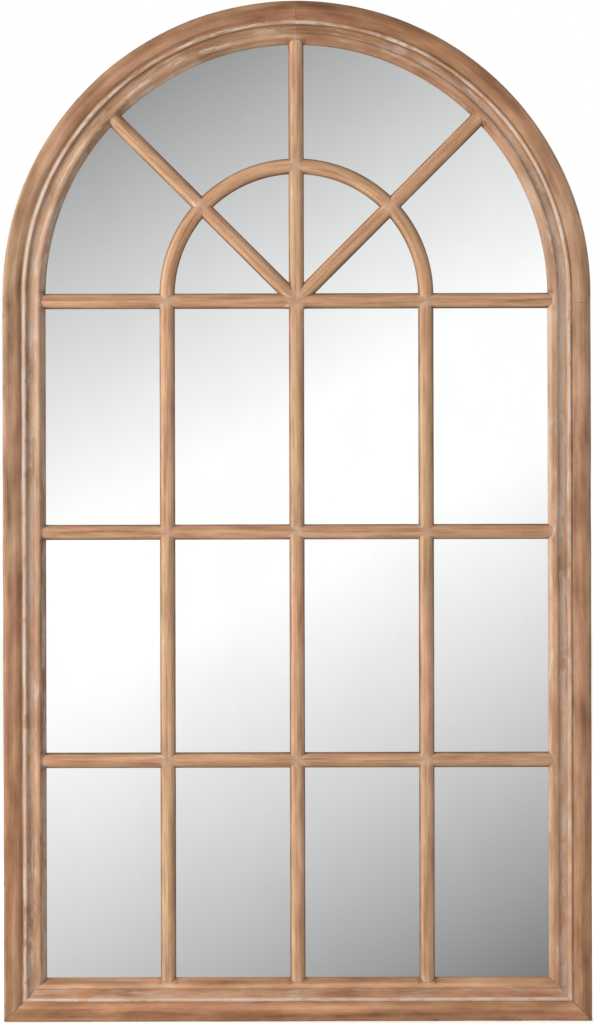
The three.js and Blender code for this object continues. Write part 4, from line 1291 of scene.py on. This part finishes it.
def addFloor():
    half = studio["floorHalf"] / millimetre
    level = frameBottom - 0.4
    points = np.array([(-half, -half, level), (half, -half, level), (half, half, level), (-half, half, level)])
    floor = makePiece("studioFloor", points, np.array([[0, 1, 2, 3]]))
    material, tree, place = newMaterial("paleFloor")
    colour = blendColour(noise(place, (3, 3, 3), detail=3.0), studio["floorColour"], paint(243, 242, 240))
    glow = times(put(tree, "LightPath").outputs["Is Camera Ray"], studio["floorGlow"])
    shader = put(tree, "BsdfPrincipled", {"Base Color": colour, "Roughness": 0.9, "Specular IOR Level": 0.1,
                                          "Emission Color": (1, 1, 1, 1), "Emission Strength": glow})
    put(tree, "OutputMaterial", {"Surface": shader.outputs[0]})
    floor.data.materials.append(material)
    floor.visible_glossy = False


# A tall curved wall in front of the glass that only reflections see.
def addReflectedWall():
    turn = np.radians(np.linspace(-studio["cardHalfTurn"], studio["cardHalfTurn"], 81))
    radius, nearest = studio["cardRadius"] / millimetre, studio["cardDistance"] / millimetre
    x, y = radius * np.sin(turn), radius - nearest - radius * np.cos(turn)
    rings = [np.column_stack([x, y, np.full(turn.shape, studio[level] / millimetre)])
             for level in ("cardLow", "cardHigh")]
    wall = makePiece("reflectedWall", np.vstack(rings), gridQuads(2, len(turn), wrap=False))
    material, tree, place = newMaterial("reflectedGradient")
    axes = put(tree, "SeparateXYZ", {"Vector": place}).outputs
    g = wallGradient
    # A point of the glass sees the wall twice as far out, measured from the camera's own place.
    lowered = plus(axes[2], studio["aimZ"])
    leaning = plus(times(axes[0], g["wayX"] / 2), times(lowered, g["wayZ"] / 2))
    span = g["high"] - g["low"]
    share = maths("FRACT", maths("DIVIDE", minus(leaning, g["low"]), span), 0.0)
    dark, white = g["dark"] / g["glassShare"], 1.02 / g["glassShare"]
    stops = [(0.0, dark), ((g["white"] - g["low"]) / span, white), ((g["whiteEnd"] - g["low"]) / span, white),
             (1.0, dark)]
    light = ramp(share, [(at, (value, value, value, 1)) for at, value in stops])
    glow = put(tree, "Emission", {"Color": light, "Strength": 1.0})
    put(tree, "OutputMaterial", {"Surface": glow.outputs[0]})
    wall.data.materials.append(material)
    wall.visible_camera = False
    wall.visible_diffuse = False
    wall.visible_shadow = False


# White where the camera, gloss or clear glass sees it, and a plain soft light for everything else.
def addWorld():
    world = bpy.data.worlds.new("paleStudio")
    bpy.context.scene.world = world
    world.use_nodes = True
    tree = world.node_tree
    tree.nodes.clear()
    rays = put(tree, "LightPath").outputs
    seen = plus(rays["Is Camera Ray"], rays["Is Glossy Ray"])
    seen = plus(seen, rays["Is Transmission Ray"], clamp=True)
    strength = plus(times(seen, 1 - studio["worldLight"]), studio["worldLight"])
    sky = put(tree, "Background", {"Color": (1, 1, 1, 1), "Strength": strength})
    put(tree, "OutputWorld", {"Surface": sky.outputs[0]})


def addCamera():
    lens = bpy.data.cameras.new("photoCamera")
    lens.lens = studio["lens"]
    lens.sensor_width = 36.0
    camera = bpy.data.objects.new("photoCamera", lens)
    camera.location = (studio["aimX"], -studio["cameraDistance"], studio["aimZ"])
    camera.rotation_euler = (math.pi / 2, math.radians(studio["cameraRoll"]), 0)
    bpy.context.scene.collection.objects.link(camera)
    bpy.context.scene.camera = camera


addFloor()
addReflectedWall()
addWorld()
addLamp("keyLamp", studio["keyPlace"], studio["keyAim"], studio["keySize"], studio["keyWatts"], False)
addLamp("backLamp", studio["backPlace"], studio["backAim"], studio["backSize"], studio["backWatts"], True)
addCamera()
bpy.context.scene.view_settings.view_transform = "Standard"
print("studio ready")
